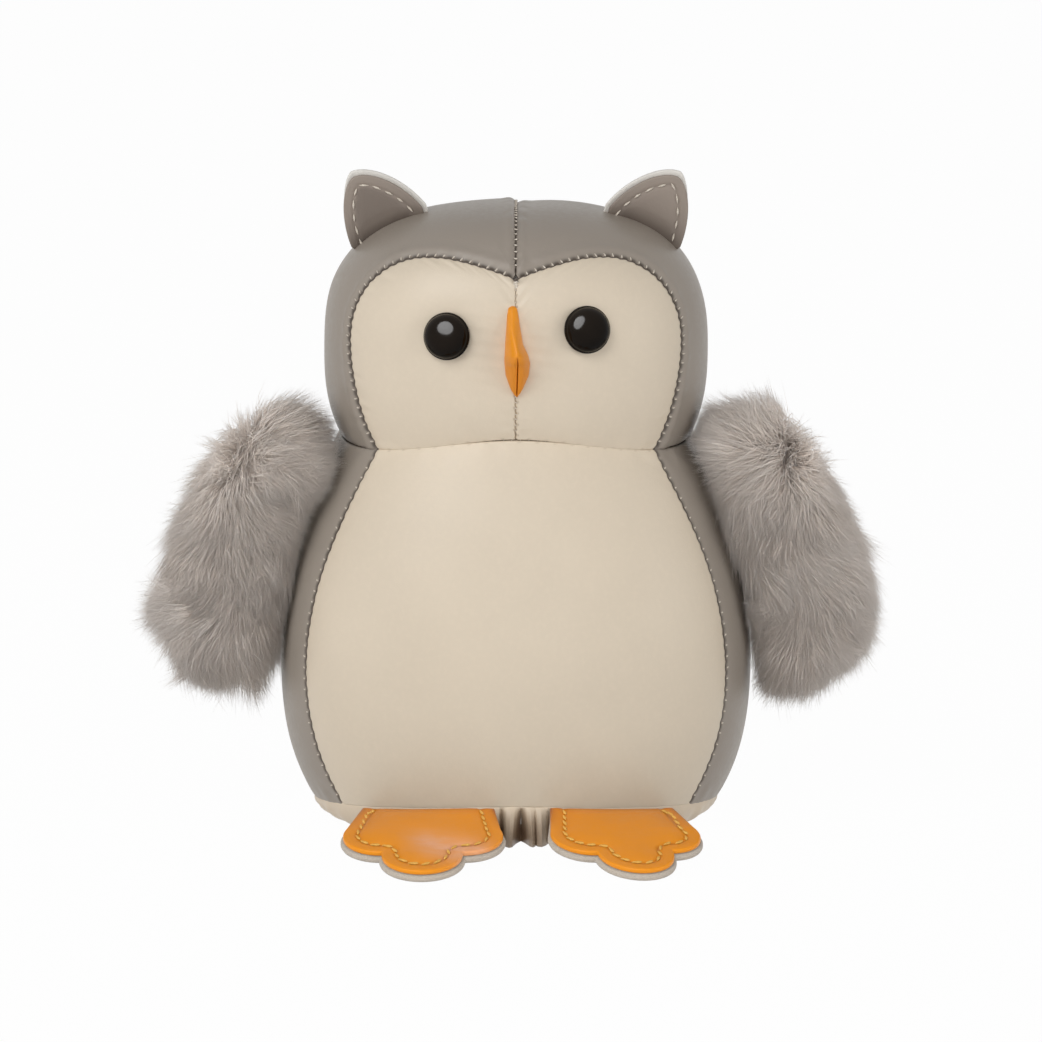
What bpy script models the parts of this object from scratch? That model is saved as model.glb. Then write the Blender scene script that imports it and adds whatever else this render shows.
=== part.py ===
# Plush owl sewn from soft leatherette panels, with fur fabric wings and a flat gathered base.
# Metres, +Z up. The owl faces -Y, and "left" is the side at -X, as seen from the front.
# The origin is the centre of the base, on the surface that the owl stands on.

import bisect
import math

import bmesh
import bpy
from mathutils import Matrix, Vector

# Sheet materials, and the gaps kept between neighbouring pieces
LEATHER = 0.0009
FUR_FABRIC = 0.0035
SEAM_GAP = 0.0003
FILL_GAP = 0.0006

# Body: half sizes at its widest height, and how far it draws in down to the floor
NECK_HEIGHT = 0.0834
BELT_HEIGHT = 0.0340
BELT_HALF_WIDTH = 0.0514
BELT_FRONT = 0.0445
BELT_BACK = 0.0410
SIDE_TUCK = 0.0090
FRONT_TUCK = 0.0060
BACK_TUCK = 0.0055
NECK_WAVE = 0.0019

# Seam between the body cover and the base
RIM_FRONT = 0.0090
RIM_SIDE = 0.0032

# Belly panel: its half width as a share of the body's, less a share at its two ends
BELLY_SHARE = 0.852
BELLY_END_DROP_SHARE = 0.075
BELLY_MID_HEIGHT = 0.0370

# Base: the roll of its edge, its gathers at the front, and what lies inside it
BASE_ROLL = 0.0045
PLEAT_PITCH = 0.0032
PLEAT_DEPTH = 0.0008
PLEAT_SPAN = 0.0070
PLEAT_MIDDLE = 0.0015
BOARD = 0.0015
BOARD_MARGIN = 0.0012
POUCH_HEIGHT = 0.0130
POUCH_SHARE = 0.74

# Head: half sizes of a squared oval, and how far its middle lies above the neck
HEAD_HALF_WIDTH = 0.0414
HEAD_HALF_DEPTH = 0.0335
HEAD_CENTRE_RISE = 0.0181
HEAD_CROWN = 0.0310
HEAD_CHIN = 0.0325
SEAM_END_TRIM = 0.0012

# Eyes: above the head's middle, a dome on a flat rim, a stem through the face and a washer behind it
EYE_LEFT_SPREAD = 0.0144
EYE_RIGHT_SPREAD = 0.0149
EYE_LEFT_RISE = 0.0065
EYE_RIGHT_RISE = 0.0077
EYE_RADIUS = 0.0050
EYE_DOME_RADIUS = 0.0046
EYE_DOME = 0.0036
EYE_RIM = 0.0006
STEM_RADIUS = 0.0016
STEM_LENGTH = 0.0090
WASHER_RADIUS = 0.0050
WASHER = 0.0012

# Beak: a folded tip sewn over the middle seam of the face, its top above the head's middle
BEAK_TOP_RISE = 0.0125
BEAK_LENGTH = 0.0193
BEAK_HALF_WIDTH = 0.0026
BEAK_REACH = 0.0062
BEAK_EDGE = 0.0008
BEAK_SLIT = 0.0005

# Ears: how far their outer ends lie in from the side of the head, and half the run of their base
EAR_SIDE_INSET = 0.0054
EAR_HALF_RUN = 0.0084
EAR_SETBACK = 0.0060
EAR_HEIGHT = 0.0145
EAR_LINING_MARGIN = 0.0009
EAR_GAP = 0.0007

# Feet: three lobes each, in the plane of the foot, measured forward from its hinge
FOOT_LEFT_SPREAD = 0.0193
FOOT_RIGHT_SPREAD = 0.0222
FOOT_LEFT_TURN_DEGREES = 0.0
FOOT_RIGHT_TURN_DEGREES = 5.0
FOOT_HINGE_HEIGHT = 0.0088
FOOT_BACK_HALF_WIDTH = 0.0125
FOOT_GAP = 0.0005
FOOT_TOP = 0.0011
FOOT_SOLE = 0.0011
SOLE_MARGIN = 0.0005
SOLE_SETBACK = 0.0009
SIDE_LOBE_RADIUS = 0.0080
SIDE_LOBE_OFFSET = 0.0087
SIDE_LOBE_REACH = 0.0146
FRONT_LOBE_RADIUS = 0.0084
FRONT_LOBE_REACH = 0.0230

# Wings: a padded mitten that hangs from its upper inner corner, near the neck
WING_ROOT_SPREAD = 0.0412
WING_ROOT_SETBACK = 0.0130
WING_ROOT_RISE = 0.0006
WING_LEAN_DEGREES = 18.0
WING_HALF_LENGTH = 0.0305
WING_HALF_WIDTH = 0.0140
WING_HALF_THICKNESS = 0.0090
WING_OFFSET = 0.0095
WING_RISE = 0.0030

# Heights that follow from the neck's
HEAD_CENTRE_HEIGHT = NECK_HEIGHT + HEAD_CENTRE_RISE
BEAK_TOP_HEIGHT = HEAD_CENTRE_HEIGHT + BEAK_TOP_RISE
BEAK_BOTTOM_HEIGHT = BEAK_TOP_HEIGHT - BEAK_LENGTH
WING_ROOT_HEIGHT = NECK_HEIGHT + WING_ROOT_RISE

# Shares and powers that shape the rounded forms
PLAN_POWER = 2.5
HEAD_POWER = 2.7
UPPER_POWER = 1.9
LOWER_POWER = 2.65
RIM_POWER = 1.5
NECK_WAVES = 3
WAVE_POWER = 3
EAR_POWER = 1.65
EAR_CORNER_SHARE = 0.05
FOOT_HEEL_DEGREES = 20.0
WING_OUTLINE_POWER = 3.0
WING_SWELL_POWER = 2.2
WING_ROOT_TAPER_SHARE = 0.30
WASHER_EDGE_SHARE = 0.25
BEAK_APEX_SHARE = 0.42
BEAK_END_SHARE = 0.5
BEAK_SKEW_POWER = 1.3
BEAK_FOOT_POWER = 0.8

# Face outline from the brow notch to the cheek, as shares of the head's half width and of its crown
FACE_OUTLINE_SHARES = [
    (0.0, 0.580),
    (0.16, 0.655),
    (0.38, 0.716),
    (0.57, 0.692),
    (0.74, 0.550),
    (0.845, 0.300),
    (0.860, 0.050),
    (0.835, -0.190),
    (0.780, -0.430),
]

# Cross-section of the beak, as shares of its half width and of its reach
BEAK_SECTION_SHARES = [
    (-1, 0),
    (-0.72, 0.40),
    (-0.20, 0.92),
    (0, 1),
    (0.20, 0.92),
    (0.72, 0.40),
    (1, 0),
    (0, 0),
]

# Rings of the body filling up its height, and those that close its top
BODY_RING_SHARES = (0, 0.05, 0.14, 0.26, 0.40, 0.55, 0.70, 0.85, 1)
CAP_RING_SHARES = (0.5, 0)

# Rings of a wing's cover and of its filling, from the middle out to the seam
WING_COVER_SHARES = (0, 0.40, 0.70, 0.90, 1)
WING_FILL_SHARES = (0, 0.45, 0.78, 1)

# Numbers of facets, and how finely curves are followed
SHARP_DEGREES = 40.0
CURVE_SAMPLES = 40
FIT_ROUNDS = 4
ROUND_STEPS = 20
DOME_STEPS = 4
EYE_STEPS = 7
BEAK_ROWS = 12
HEAD_FILL_ROWS = 9
FACE_ROWS = 14
FACE_COLUMNS = 7
HEAD_COLUMNS = 13
BODY_ROWS = 10
BELLY_COLUMNS = 12
SIDE_COLUMNS = 13
SOLID_COLUMNS = 28
PLEAT_STEPS = 4
LOBE_STEPS = 8

# Colours as red, green, blue, with roughness
CREAM = (0.66, 0.58, 0.46, 0.45)
TAUPE = (0.27, 0.24, 0.21, 0.45)
TAUPE_DARK = (0.20, 0.17, 0.15, 0.5)
ORANGE = (0.75, 0.28, 0.035, 0.4)
SOLE_WHITE = (0.72, 0.69, 0.62, 0.8)
FUR_GREY = (0.33, 0.29, 0.26, 0.95)
EYE_BLACK = (0.012, 0.010, 0.009, 0.08)
WASHER_WHITE = (0.75, 0.75, 0.73, 0.5)
BOARD_GREY = (0.45, 0.42, 0.38, 0.8)
POUCH_CLOTH = (0.62, 0.60, 0.55, 0.9)
FIBRE_WHITE = (0.82, 0.82, 0.80, 0.95)

WELD = 1e-6
SIDES = (("left", -1), ("right", 1))


# Scene, materials and small helpers


def clear_scene():
    for obj in list(bpy.data.objects):
        bpy.data.objects.remove(obj, do_unlink=True)


def new_collection(name):
    collection = bpy.data.collections.new(name)
    bpy.context.scene.collection.children.link(collection)
    return collection


def new_material(name, finish):
    red, green, blue, roughness = finish
    material = bpy.data.materials.new(name)
    material.use_nodes = True
    shader = material.node_tree.nodes["Principled BSDF"]
    shader.inputs["Base Color"].default_value = (red, green, blue, 1)
    shader.inputs["Roughness"].default_value = roughness
    shader.inputs["Metallic"].default_value = 0
    material.diffuse_color = (red, green, blue, 1)
    return material


def new_object(name, bm, finish):
    mesh = bpy.data.meshes.new(name)
    bm.to_mesh(mesh)
    bm.free()
    mesh.shade_smooth()
    mesh.set_sharp_from_angle(angle=math.radians(SHARP_DEGREES))
    obj = bpy.data.objects.new(name, mesh)
    if finish is not None:
        mesh.materials.append(new_material(name, finish))
        owl_parts.objects.link(obj)
    return obj


def new_cutter(name, bm):
    obj = new_object(name, bm, None)
    cutters.objects.link(obj)
    obj.hide_render = True
    obj.display_type = "WIRE"
    return obj


def face_outward(bm):
    centre = sum((vert.co for vert in bm.verts), Vector()) / len(bm.verts)
    outward = sum(face.normal.dot(face.calc_center_median() - centre) for face in bm.faces)
    if outward < 0:
        bmesh.ops.reverse_faces(bm, faces=bm.faces)


def add_solidify(obj, thickness):
    wall = obj.modifiers.new("thickness", "SOLIDIFY")
    wall.thickness = thickness
    wall.offset = -1
    wall.use_even_offset = True


def add_cut(obj, cutter):
    cut = obj.modifiers.new(cutter.name, "BOOLEAN")
    cut.operation = "DIFFERENCE"
    cut.solver = "EXACT"
    cut.object = cutter


def add_pivot(name, point, along):
    # An empty on a joint, with its X axis along the hinge.
    pivot = bpy.data.objects.new(name, None)
    pivot.empty_display_size = EYE_RADIUS
    turn = along.to_track_quat("X", "Z").to_matrix().to_4x4()
    pivot.matrix_world = Matrix.Translation(point) @ turn
    owl_parts.objects.link(pivot)
    return pivot


def hang_on(pivot, obj):
    obj.data.transform(pivot.matrix_world.inverted())
    obj.parent = pivot


def mix(low, high, share):
    return low + (high - low) * share


def smooth_curve(points, share):
    # A Catmull-Rom curve through the points, with share 0 at the first and 1 at the last.
    spans = len(points) - 1
    span = min(int(share * spans), spans - 1)
    t = share * spans - span
    at = [points[max(span - 1, 0)], points[span], points[span + 1], points[min(span + 2, spans)]]
    rise = (at[2] - at[0]) / 2
    fall = (at[3] - at[1]) / 2
    bow = at[1] * (2 * t**3 - 3 * t**2 + 1) + at[2] * (3 * t**2 - 2 * t**3)
    return bow + rise * (t**3 - 2 * t**2 + t) + fall * (t**3 - t**2)


def even_shares(curve, steps, first=0.0):
    # Shares along a curve at even distances.
    samples = CURVE_SAMPLES * steps
    at = [mix(first, 1, i / samples) for i in range(samples + 1)]
    spots = [curve(share) for share in at]
    run = [0.0]
    for before, after in zip(spots, spots[1:]):
        run.append(run[-1] + (after - before).length)
    shares = [at[bisect.bisect_left(run, run[-1] * step / steps)] for step in range(steps)]
    return shares + [1.0]


def grid_mesh(columns, rows, place):
    # A flat grid of unit size whose points are moved to place(column, row), then welded.
    bm = bmesh.new()
    bmesh.ops.create_grid(bm, x_segments=columns, y_segments=rows, size=0.5)
    for vert in bm.verts:
        column = round((vert.co.x + 0.5) * columns)
        row = round((vert.co.y + 0.5) * rows)
        vert.co = place(column, row)
    bmesh.ops.remove_doubles(bm, verts=bm.verts, dist=WELD)
    bm.normal_update()
    face_outward(bm)
    return bm


def draw_in(spots, distance):
    # The four edges of a panel, moved towards its middle to leave room for the seam.
    columns = len(spots) - 1
    rows = len(spots[0]) - 1
    for row in range(rows + 1):
        for edge, inner in ((0, 1), (columns, columns - 1)):
            step = spots[inner][row] - spots[edge][row]
            spots[edge][row] = spots[edge][row] + step.normalized() * distance
    for column in range(columns + 1):
        for edge, inner in ((0, 1), (rows, rows - 1)):
            step = spots[column][inner] - spots[column][edge]
            spots[column][edge] = spots[column][edge] + step.normalized() * distance


def sewn_panel(name, columns, rows, place, finish):
    spots = [[place(i / columns, j / rows) for j in range(rows + 1)] for i in range(columns + 1)]
    draw_in(spots, SEAM_GAP / 2)
    panel = new_object(name, grid_mesh(columns, rows, lambda i, j: spots[i][j]), finish)
    add_solidify(panel, LEATHER)
    return panel


def ringed_solid(name, rings, columns, finish):
    # A closed solid of rings stacked from its lower pole to its upper pole; a ring is a function of an angle.
    bm = grid_mesh(columns, len(rings) - 1, lambda i, j: rings[j](math.tau * (i % columns) / columns))
    return new_object(name, bm, finish)


def turned_mesh(profile, steps=ROUND_STEPS):
    # A profile of radius and height, run down its outer side and turned about Z.
    bm = bmesh.new()
    verts = [bm.verts.new((radius, 0, height)) for radius, height in profile]
    edges = [bm.edges.new(pair) for pair in zip(verts, verts[1:])]
    bmesh.ops.spin(
        bm,
        geom=verts + edges,
        axis=(0, 0, 1),
        cent=(0, 0, 0),
        steps=steps,
        angle=math.tau,
        use_merge=True,
    )
    bmesh.ops.remove_doubles(bm, verts=bm.verts, dist=WELD)
    bmesh.ops.recalc_face_normals(bm, faces=bm.faces)
    return bm


def sheet_piece(name, outline, thickness, matrix, finish):
    # A flat outline with an even thickness, its lower face on the local XY plane.
    curve = bpy.data.curves.new(name, "CURVE")
    curve.dimensions = "2D"
    curve.fill_mode = "BOTH"
    curve.extrude = thickness / 2
    spline = curve.splines.new("POLY")
    spline.points.add(len(outline) - 1)
    for point, (x, y) in zip(spline.points, outline):
        point.co = (x, y, 0, 1)
    spline.use_cyclic_u = True
    drawn = bpy.data.objects.new(name + "_outline", curve)
    owl_parts.objects.link(drawn)
    graph = bpy.context.evaluated_depsgraph_get()
    mesh = bpy.data.meshes.new_from_object(drawn.evaluated_get(graph))
    bpy.data.objects.remove(drawn)
    bm = bmesh.new()
    bm.from_mesh(mesh)
    bpy.data.meshes.remove(mesh)
    bmesh.ops.remove_doubles(bm, verts=bm.verts, dist=WELD)
    bmesh.ops.recalc_face_normals(bm, faces=bm.faces)
    bmesh.ops.translate(bm, verts=bm.verts, vec=(0, 0, thickness / 2))
    bmesh.ops.transform(bm, verts=bm.verts, matrix=matrix)
    return new_object(name, bm, finish)


# Surfaces of the head and the body


def squared_reach(angle, power):
    # Radius of a unit squared circle at this angle.
    return (abs(math.sin(angle)) ** power + abs(math.cos(angle)) ** power) ** (-1 / power)


def plan_point(angle, halves, height):
    # A point on a squared oval at this height; angle 0 is the front and a quarter turn is +X.
    half_width, front, back = halves
    reach = squared_reach(angle, PLAN_POWER)
    depth = front if math.cos(angle) > 0 else back
    return Vector((half_width * reach * math.sin(angle), -depth * reach * math.cos(angle), height))


def head_halves(height, inset=0.0):
    above = height > HEAD_CENTRE_HEIGHT
    reach = (HEAD_CROWN if above else HEAD_CHIN) - inset
    share = min(abs(height - HEAD_CENTRE_HEIGHT) / reach, 1)
    narrow = (1 - share**HEAD_POWER) ** (1 / HEAD_POWER)
    width = (HEAD_HALF_WIDTH - inset) * narrow
    depth = (HEAD_HALF_DEPTH - inset) * narrow
    return width, depth, depth


def neck_wave(angle):
    # The neck seam is high at the front and low at the corners of the face.
    turn = abs(math.remainder(angle, math.tau))
    return NECK_WAVE * math.cos(NECK_WAVES * turn) * (1 + math.cos(turn)) / 2


def head_centre():
    return Vector((0, 0, HEAD_CENTRE_HEIGHT))


def head_point(direction, inset=0.0):
    # The point where this direction from the head's middle meets the head.
    reach_up = HEAD_CROWN if direction.z > 0 else HEAD_CHIN
    sides = (HEAD_HALF_WIDTH - inset, HEAD_HALF_DEPTH - inset, reach_up - inset)
    plan = math.atan2(direction.x / sides[0], -direction.y / sides[1])
    flat = math.hypot(direction.x / sides[0], direction.y / sides[1])
    flat = flat / squared_reach(plan, PLAN_POWER)
    up = abs(direction.z) / sides[2]
    point = head_centre() + direction / (flat**HEAD_POWER + up**HEAD_POWER) ** (1 / HEAD_POWER)
    drop = (HEAD_CENTRE_HEIGHT - point.z) / (HEAD_CENTRE_HEIGHT - NECK_HEIGHT)
    angle = math.atan2(direction.x, -direction.y)
    return point + Vector((0, 0, neck_wave(angle) * max(drop, 0) ** WAVE_POWER))


def head_front(x, height, inset=0.0):
    # The point on the front of the head at this x and height.
    half_width, depth, _ = head_halves(height, inset)
    share = min(abs(x) / half_width, 1)
    return Vector((x, -depth * (1 - share**PLAN_POWER) ** (1 / PLAN_POWER), height))


def crown_point(x, y):
    # The point on the top of the head over this place.
    plan = (abs(x) / HEAD_HALF_WIDTH) ** PLAN_POWER + (abs(y) / HEAD_HALF_DEPTH) ** PLAN_POWER
    share = (1 - plan ** (HEAD_POWER / PLAN_POWER)) ** (1 / HEAD_POWER)
    return Vector((x, y, HEAD_CENTRE_HEIGHT + HEAD_CROWN * share))


def head_normal(point):
    # Outward normal, from the two tangents that cross at this point of the front.
    step = SEAM_GAP
    along = head_front(point.x + step, point.z) - head_front(point.x - step, point.z)
    up = head_front(point.x, point.z + step) - head_front(point.x, point.z - step)
    return along.cross(up).normalized()


def body_halves(height):
    belt = (BELT_HALF_WIDTH, BELT_FRONT, BELT_BACK)
    if height > BELT_HEIGHT:
        share = ((height - BELT_HEIGHT) / (NECK_HEIGHT - BELT_HEIGHT)) ** UPPER_POWER
        return [mix(wide, neck, share) for wide, neck in zip(belt, head_halves(NECK_HEIGHT))]
    share = (1 - max(height, 0) / BELT_HEIGHT) ** LOWER_POWER
    return [wide - tuck * share for wide, tuck in zip(belt, (SIDE_TUCK, FRONT_TUCK, BACK_TUCK))]


def body_point(angle, height, inset=0.0):
    halves = [half - inset for half in body_halves(height)]
    lift = neck_wave(angle) * (height / NECK_HEIGHT) ** WAVE_POWER
    return plan_point(angle, halves, height + lift)


def rim_height(angle):
    return mix(RIM_SIDE, RIM_FRONT, max(math.cos(angle), 0) ** RIM_POWER)


def plan_angle(share):
    # The angle at which a squared oval reaches this share of its half width, on the front.
    return math.atan2(share, (1 - share**PLAN_POWER) ** (1 / PLAN_POWER))


def belly_angle(height):
    reach = NECK_HEIGHT - BELLY_MID_HEIGHT if height > BELLY_MID_HEIGHT else BELLY_MID_HEIGHT
    share = (height - BELLY_MID_HEIGHT) / reach
    return plan_angle(BELLY_SHARE - BELLY_END_DROP_SHARE * share**2)


# Body: cover, base and filling


def cover_point(column_angle, row):
    # A point of the body cover, on the column whose angle is column_angle(height).
    low = rim_height(column_angle(RIM_FRONT))
    height = mix(rim_height(column_angle(low)), NECK_HEIGHT, row)
    return body_point(column_angle(height), height)


def build_belly_panel():
    def place(column, row):
        return cover_point(lambda height: mix(-1, 1, column) * belly_angle(height), row)

    sewn_panel("belly_panel", BELLY_COLUMNS, BODY_ROWS, place, CREAM)


def build_side_panel(side, sign):
    def place(column, row):
        return cover_point(lambda height: sign * mix(belly_angle(height), math.pi, column), row)

    sewn_panel("side_panel_" + side, SIDE_COLUMNS, BODY_ROWS, place, TAUPE)


def base_columns():
    # Angles round the base, close together across the gathers at the front.
    front = body_halves(RIM_FRONT)[1]
    span = PLEAT_SPAN / front
    fine = max(round(PLEAT_STEPS * 2 * PLEAT_SPAN / PLEAT_PITCH), 2)
    middle = PLEAT_MIDDLE / front
    angles = [middle + mix(-span, span, i / fine) for i in range(fine + 1)]
    coarse = SOLID_COLUMNS
    angles += [middle + mix(span, math.tau - span, i / coarse) for i in range(1, coarse)]
    return angles


def base_point(angle, turn, inset=0.0):
    # The edge of the base rolls from the rim seam, at turn 0, to the floor, at a quarter turn.
    rim = rim_height(angle) - SEAM_GAP / 2
    halves = [half - BASE_ROLL * (1 - math.cos(turn)) - inset for half in body_halves(rim)]
    point = plan_point(angle, halves, inset + (rim - inset) * (1 - math.sin(turn)))
    across = math.remainder(angle, math.tau) * halves[1] - PLEAT_MIDDLE
    fade = math.sqrt(max(1 - abs(across) / PLEAT_SPAN, 0)) * math.sin(2 * turn)
    fold = math.cos(math.tau * across / PLEAT_PITCH) * PLEAT_DEPTH * fade
    return point + Vector((math.sin(angle), -math.cos(angle), 0)) * fold


def build_base_panel():
    angles = base_columns()
    turns = dome_turns()

    def place(column, row):
        angle = angles[column % len(angles)]
        if row < len(turns):
            return base_point(angle, turns[row])
        flat = base_point(angle, turns[-1])
        share = (row - len(turns) + 1) / 2
        return Vector((flat.x, flat.y, 0)) * (1 - share)

    bm = grid_mesh(len(angles), len(turns) + 1, place)
    panel = new_object("base_panel", bm, CREAM)
    add_solidify(panel, LEATHER)


def board_halves():
    rim = body_halves(RIM_SIDE)
    return [half - BASE_ROLL - BOARD_MARGIN for half in rim]


def board_top():
    return LEATHER + SEAM_GAP + BOARD


def build_base_board():
    low = board_top() - BOARD
    halves = board_halves()
    rings = [
        lambda angle: Vector((0, 0, low)),
        lambda angle: plan_point(angle, halves, low),
        lambda angle: plan_point(angle, halves, board_top()),
        lambda angle: Vector((0, 0, board_top())),
    ]
    ringed_solid("base_board", rings, SOLID_COLUMNS, BOARD_GREY)


def dome_turns():
    return [math.pi / 2 * step / DOME_STEPS for step in range(DOME_STEPS + 1)]


def pouch_point(angle, turn, grow):
    # The domed top of the pellet pouch, from its edge at turn 0 to its middle at a quarter turn.
    halves = [(half * POUCH_SHARE + grow) * math.cos(turn) for half in board_halves()]
    height = board_top() + SEAM_GAP + (POUCH_HEIGHT + grow) * math.sin(turn)
    return plan_point(angle, halves, height)


def build_pellet_pouch():
    rings = [lambda angle: Vector((0, 0, board_top() + SEAM_GAP))]
    rings += [lambda angle, turn=turn: pouch_point(angle, turn, 0) for turn in dome_turns()]
    ringed_solid("pellet_pouch", rings, SOLID_COLUMNS, POUCH_CLOTH)


def build_body_stuffing():
    inset = LEATHER + FILL_GAP
    low = board_top() + SEAM_GAP + FILL_GAP
    top = NECK_HEIGHT - FILL_GAP

    def cap_ring(share):
        return lambda angle: Vector((0, 0, top)) * (1 - share) + body_point(angle, top, inset) * share

    turns = reversed(dome_turns())
    rings = [lambda angle, turn=turn: pouch_point(angle, turn, FILL_GAP) for turn in turns]
    rings += [
        lambda angle, share=share: body_point(angle, mix(low, top, share), inset)
        for share in BODY_RING_SHARES
    ]
    rings += [cap_ring(share) for share in CAP_RING_SHARES]
    ringed_solid("body_stuffing", rings, SOLID_COLUMNS, FIBRE_WHITE)


# Head: face, crown and filling


def neck_point(angle):
    return body_point(angle, NECK_HEIGHT)


def face_edge(sign):
    # The seam round the face, from the brow notch to the corner at the neck.
    knots = []
    for across, up in FACE_OUTLINE_SHARES:
        height = HEAD_CENTRE_HEIGHT + up * HEAD_CROWN
        knots.append(head_front(sign * across * HEAD_HALF_WIDTH, height))
    knots.append(neck_point(sign * belly_angle(NECK_HEIGHT)))

    def edge(share):
        return head_point(smooth_curve(knots, share) - head_centre())

    return edge


def middle_line(notch, turn_end):
    # A seam in the plane of symmetry, from the brow notch to the neck at the given end.
    start = notch - head_centre()
    end = turn_end - head_centre()
    first = math.atan2(-start.y, start.z)
    last = math.atan2(-end.y, end.z)

    def line(share):
        turn = mix(first, last, share)
        return head_point(Vector((0, -math.sin(turn), math.cos(turn))))

    return line


def bent_between(first, second, share):
    # A direction part of the way along the arc from one direction to another.
    a = first.normalized()
    b = second.normalized()
    between = a.angle(b)
    if between == 0:
        return a
    return (a * math.sin(between * (1 - share)) + b * math.sin(between * share)) / math.sin(between)


def head_patch(edge, middle, neck):
    # Points of a three-sided patch between the face seam, a middle seam and the neck seam.
    rows = FACE_ROWS
    edge_shares = patch_shares(edge)
    middle_shares = patch_shares(middle)
    centre = head_centre()
    low_edge = edge(1) - centre
    low_middle = middle(1) - centre

    def place(column, row):
        at = round(row * rows)
        across = bent_between(edge(edge_shares[at]) - centre, middle(middle_shares[at]) - centre, column)
        fix = (neck(column) - centre).normalized() - bent_between(low_edge, low_middle, column)
        point = head_point(across + fix * row**2)
        return neck(column) if at == rows else point

    return place


def patch_shares(curve):
    length = sum(
        (curve((i + 1) / FACE_ROWS) - curve(i / FACE_ROWS)).length for i in range(FACE_ROWS)
    )
    return even_shares(curve, FACE_ROWS, SEAM_END_TRIM / length)


def build_face_panel(side, sign):
    edge = face_edge(sign)
    middle = middle_line(edge(0), neck_point(0))
    corner = belly_angle(NECK_HEIGHT)

    def neck(column):
        return neck_point(sign * corner * (1 - column))

    place = head_patch(edge, middle, neck)
    panel = sewn_panel("face_panel_" + side, FACE_COLUMNS, FACE_ROWS, place, CREAM)
    hole = turned_mesh(stem_hole_profile())
    bmesh.ops.transform(hole, verts=hole.verts, matrix=eye_matrix(sign))
    add_cut(panel, new_cutter("eye_hole_" + side, hole))


def build_head_panel(side, sign):
    edge = face_edge(sign)
    middle = middle_line(edge(0), neck_point(math.pi))
    corner = belly_angle(NECK_HEIGHT)

    def neck(column):
        return neck_point(sign * mix(corner, math.pi, column))

    sewn_panel("head_panel_" + side, HEAD_COLUMNS, FACE_ROWS, head_patch(edge, middle, neck), TAUPE)


def build_head_stuffing():
    inset = LEATHER + FILL_GAP
    low = NECK_HEIGHT + FILL_GAP
    start = low - HEAD_CENTRE_HEIGHT
    first = math.atan2(start / HEAD_CHIN, head_halves(low)[0] / HEAD_HALF_WIDTH)

    def side_ring(turn):
        def ring(angle):
            flat = plan_point(angle, (HEAD_HALF_WIDTH, HEAD_HALF_DEPTH, HEAD_HALF_DEPTH), 0)
            reach = HEAD_CHIN if turn < 0 else HEAD_CROWN
            return head_point(flat * math.cos(turn) + Vector((0, 0, reach * math.sin(turn))), inset)

        return ring

    def neck_ring(share):
        def ring(angle):
            rim = side_ring(first)(angle)
            return Vector((rim.x * share, rim.y * share, low + (rim.z - low) * share))

        return ring

    turns = [mix(first, math.pi / 2, i / HEAD_FILL_ROWS) for i in range(HEAD_FILL_ROWS + 1)]
    rings = [neck_ring(share) for share in reversed(CAP_RING_SHARES)]
    rings += [side_ring(turn) for turn in turns]
    stuffing = ringed_solid("head_stuffing", rings, SOLID_COLUMNS, FIBRE_WHITE)
    for side, sign in SIDES:
        pocket = turned_mesh(pocket_profile())
        bmesh.ops.transform(pocket, verts=pocket.verts, matrix=eye_matrix(sign))
        add_cut(stuffing, new_cutter("eye_pocket_" + side, pocket))


# Eyes and beak


def eye_matrix(sign):
    # The frame of an eye: its Z axis is square to the face, and its origin is on the surface.
    spread = EYE_LEFT_SPREAD if sign < 0 else EYE_RIGHT_SPREAD
    rise = EYE_LEFT_RISE if sign < 0 else EYE_RIGHT_RISE
    point = head_front(sign * spread, HEAD_CENTRE_HEIGHT + rise)
    turn = head_normal(point).to_track_quat("Z", "Y")
    return Matrix.Translation(point) @ turn.to_matrix().to_4x4()


def stem_hole_profile():
    reach = STEM_RADIUS + SEAM_GAP
    return [(0, STEM_LENGTH), (reach, STEM_LENGTH), (reach, -STEM_LENGTH), (0, -STEM_LENGTH)]


def washer_top():
    return -LEATHER - FILL_GAP


def pocket_profile():
    wide = WASHER_RADIUS + FILL_GAP
    narrow = STEM_RADIUS + FILL_GAP
    floor = washer_top() - WASHER - FILL_GAP
    end = -STEM_LENGTH - FILL_GAP
    return [(0, STEM_LENGTH), (wide, STEM_LENGTH), (wide, floor), (narrow, floor), (narrow, end), (0, end)]


def build_eye(side, sign):
    rim_top = SEAM_GAP + EYE_RIM
    profile = []
    for step in range(EYE_STEPS + 1):
        turn = math.pi / 2 * (1 - step / EYE_STEPS)
        profile.append((EYE_DOME_RADIUS * math.cos(turn), rim_top + EYE_DOME * math.sin(turn)))
    profile[0] = (0, rim_top + EYE_DOME)
    profile += [(EYE_RADIUS, rim_top), (EYE_RADIUS, SEAM_GAP), (STEM_RADIUS, SEAM_GAP)]
    profile += [(STEM_RADIUS, -STEM_LENGTH), (0, -STEM_LENGTH)]
    eye = new_object("eye_" + side, turned_mesh(profile), EYE_BLACK)
    eye.matrix_world = eye_matrix(sign)


def build_washer(side, sign):
    bore = STEM_RADIUS + SEAM_GAP
    top = washer_top()
    low = top - WASHER
    edge = WASHER * WASHER_EDGE_SHARE
    profile = [
        (bore, top),
        (WASHER_RADIUS - edge, top),
        (WASHER_RADIUS, top - edge),
        (WASHER_RADIUS, low),
        (bore, low),
        (bore, top),
    ]
    washer = new_object("eye_washer_" + side, turned_mesh(profile), WASHER_WHITE)
    washer.matrix_world = eye_matrix(sign)


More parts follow.
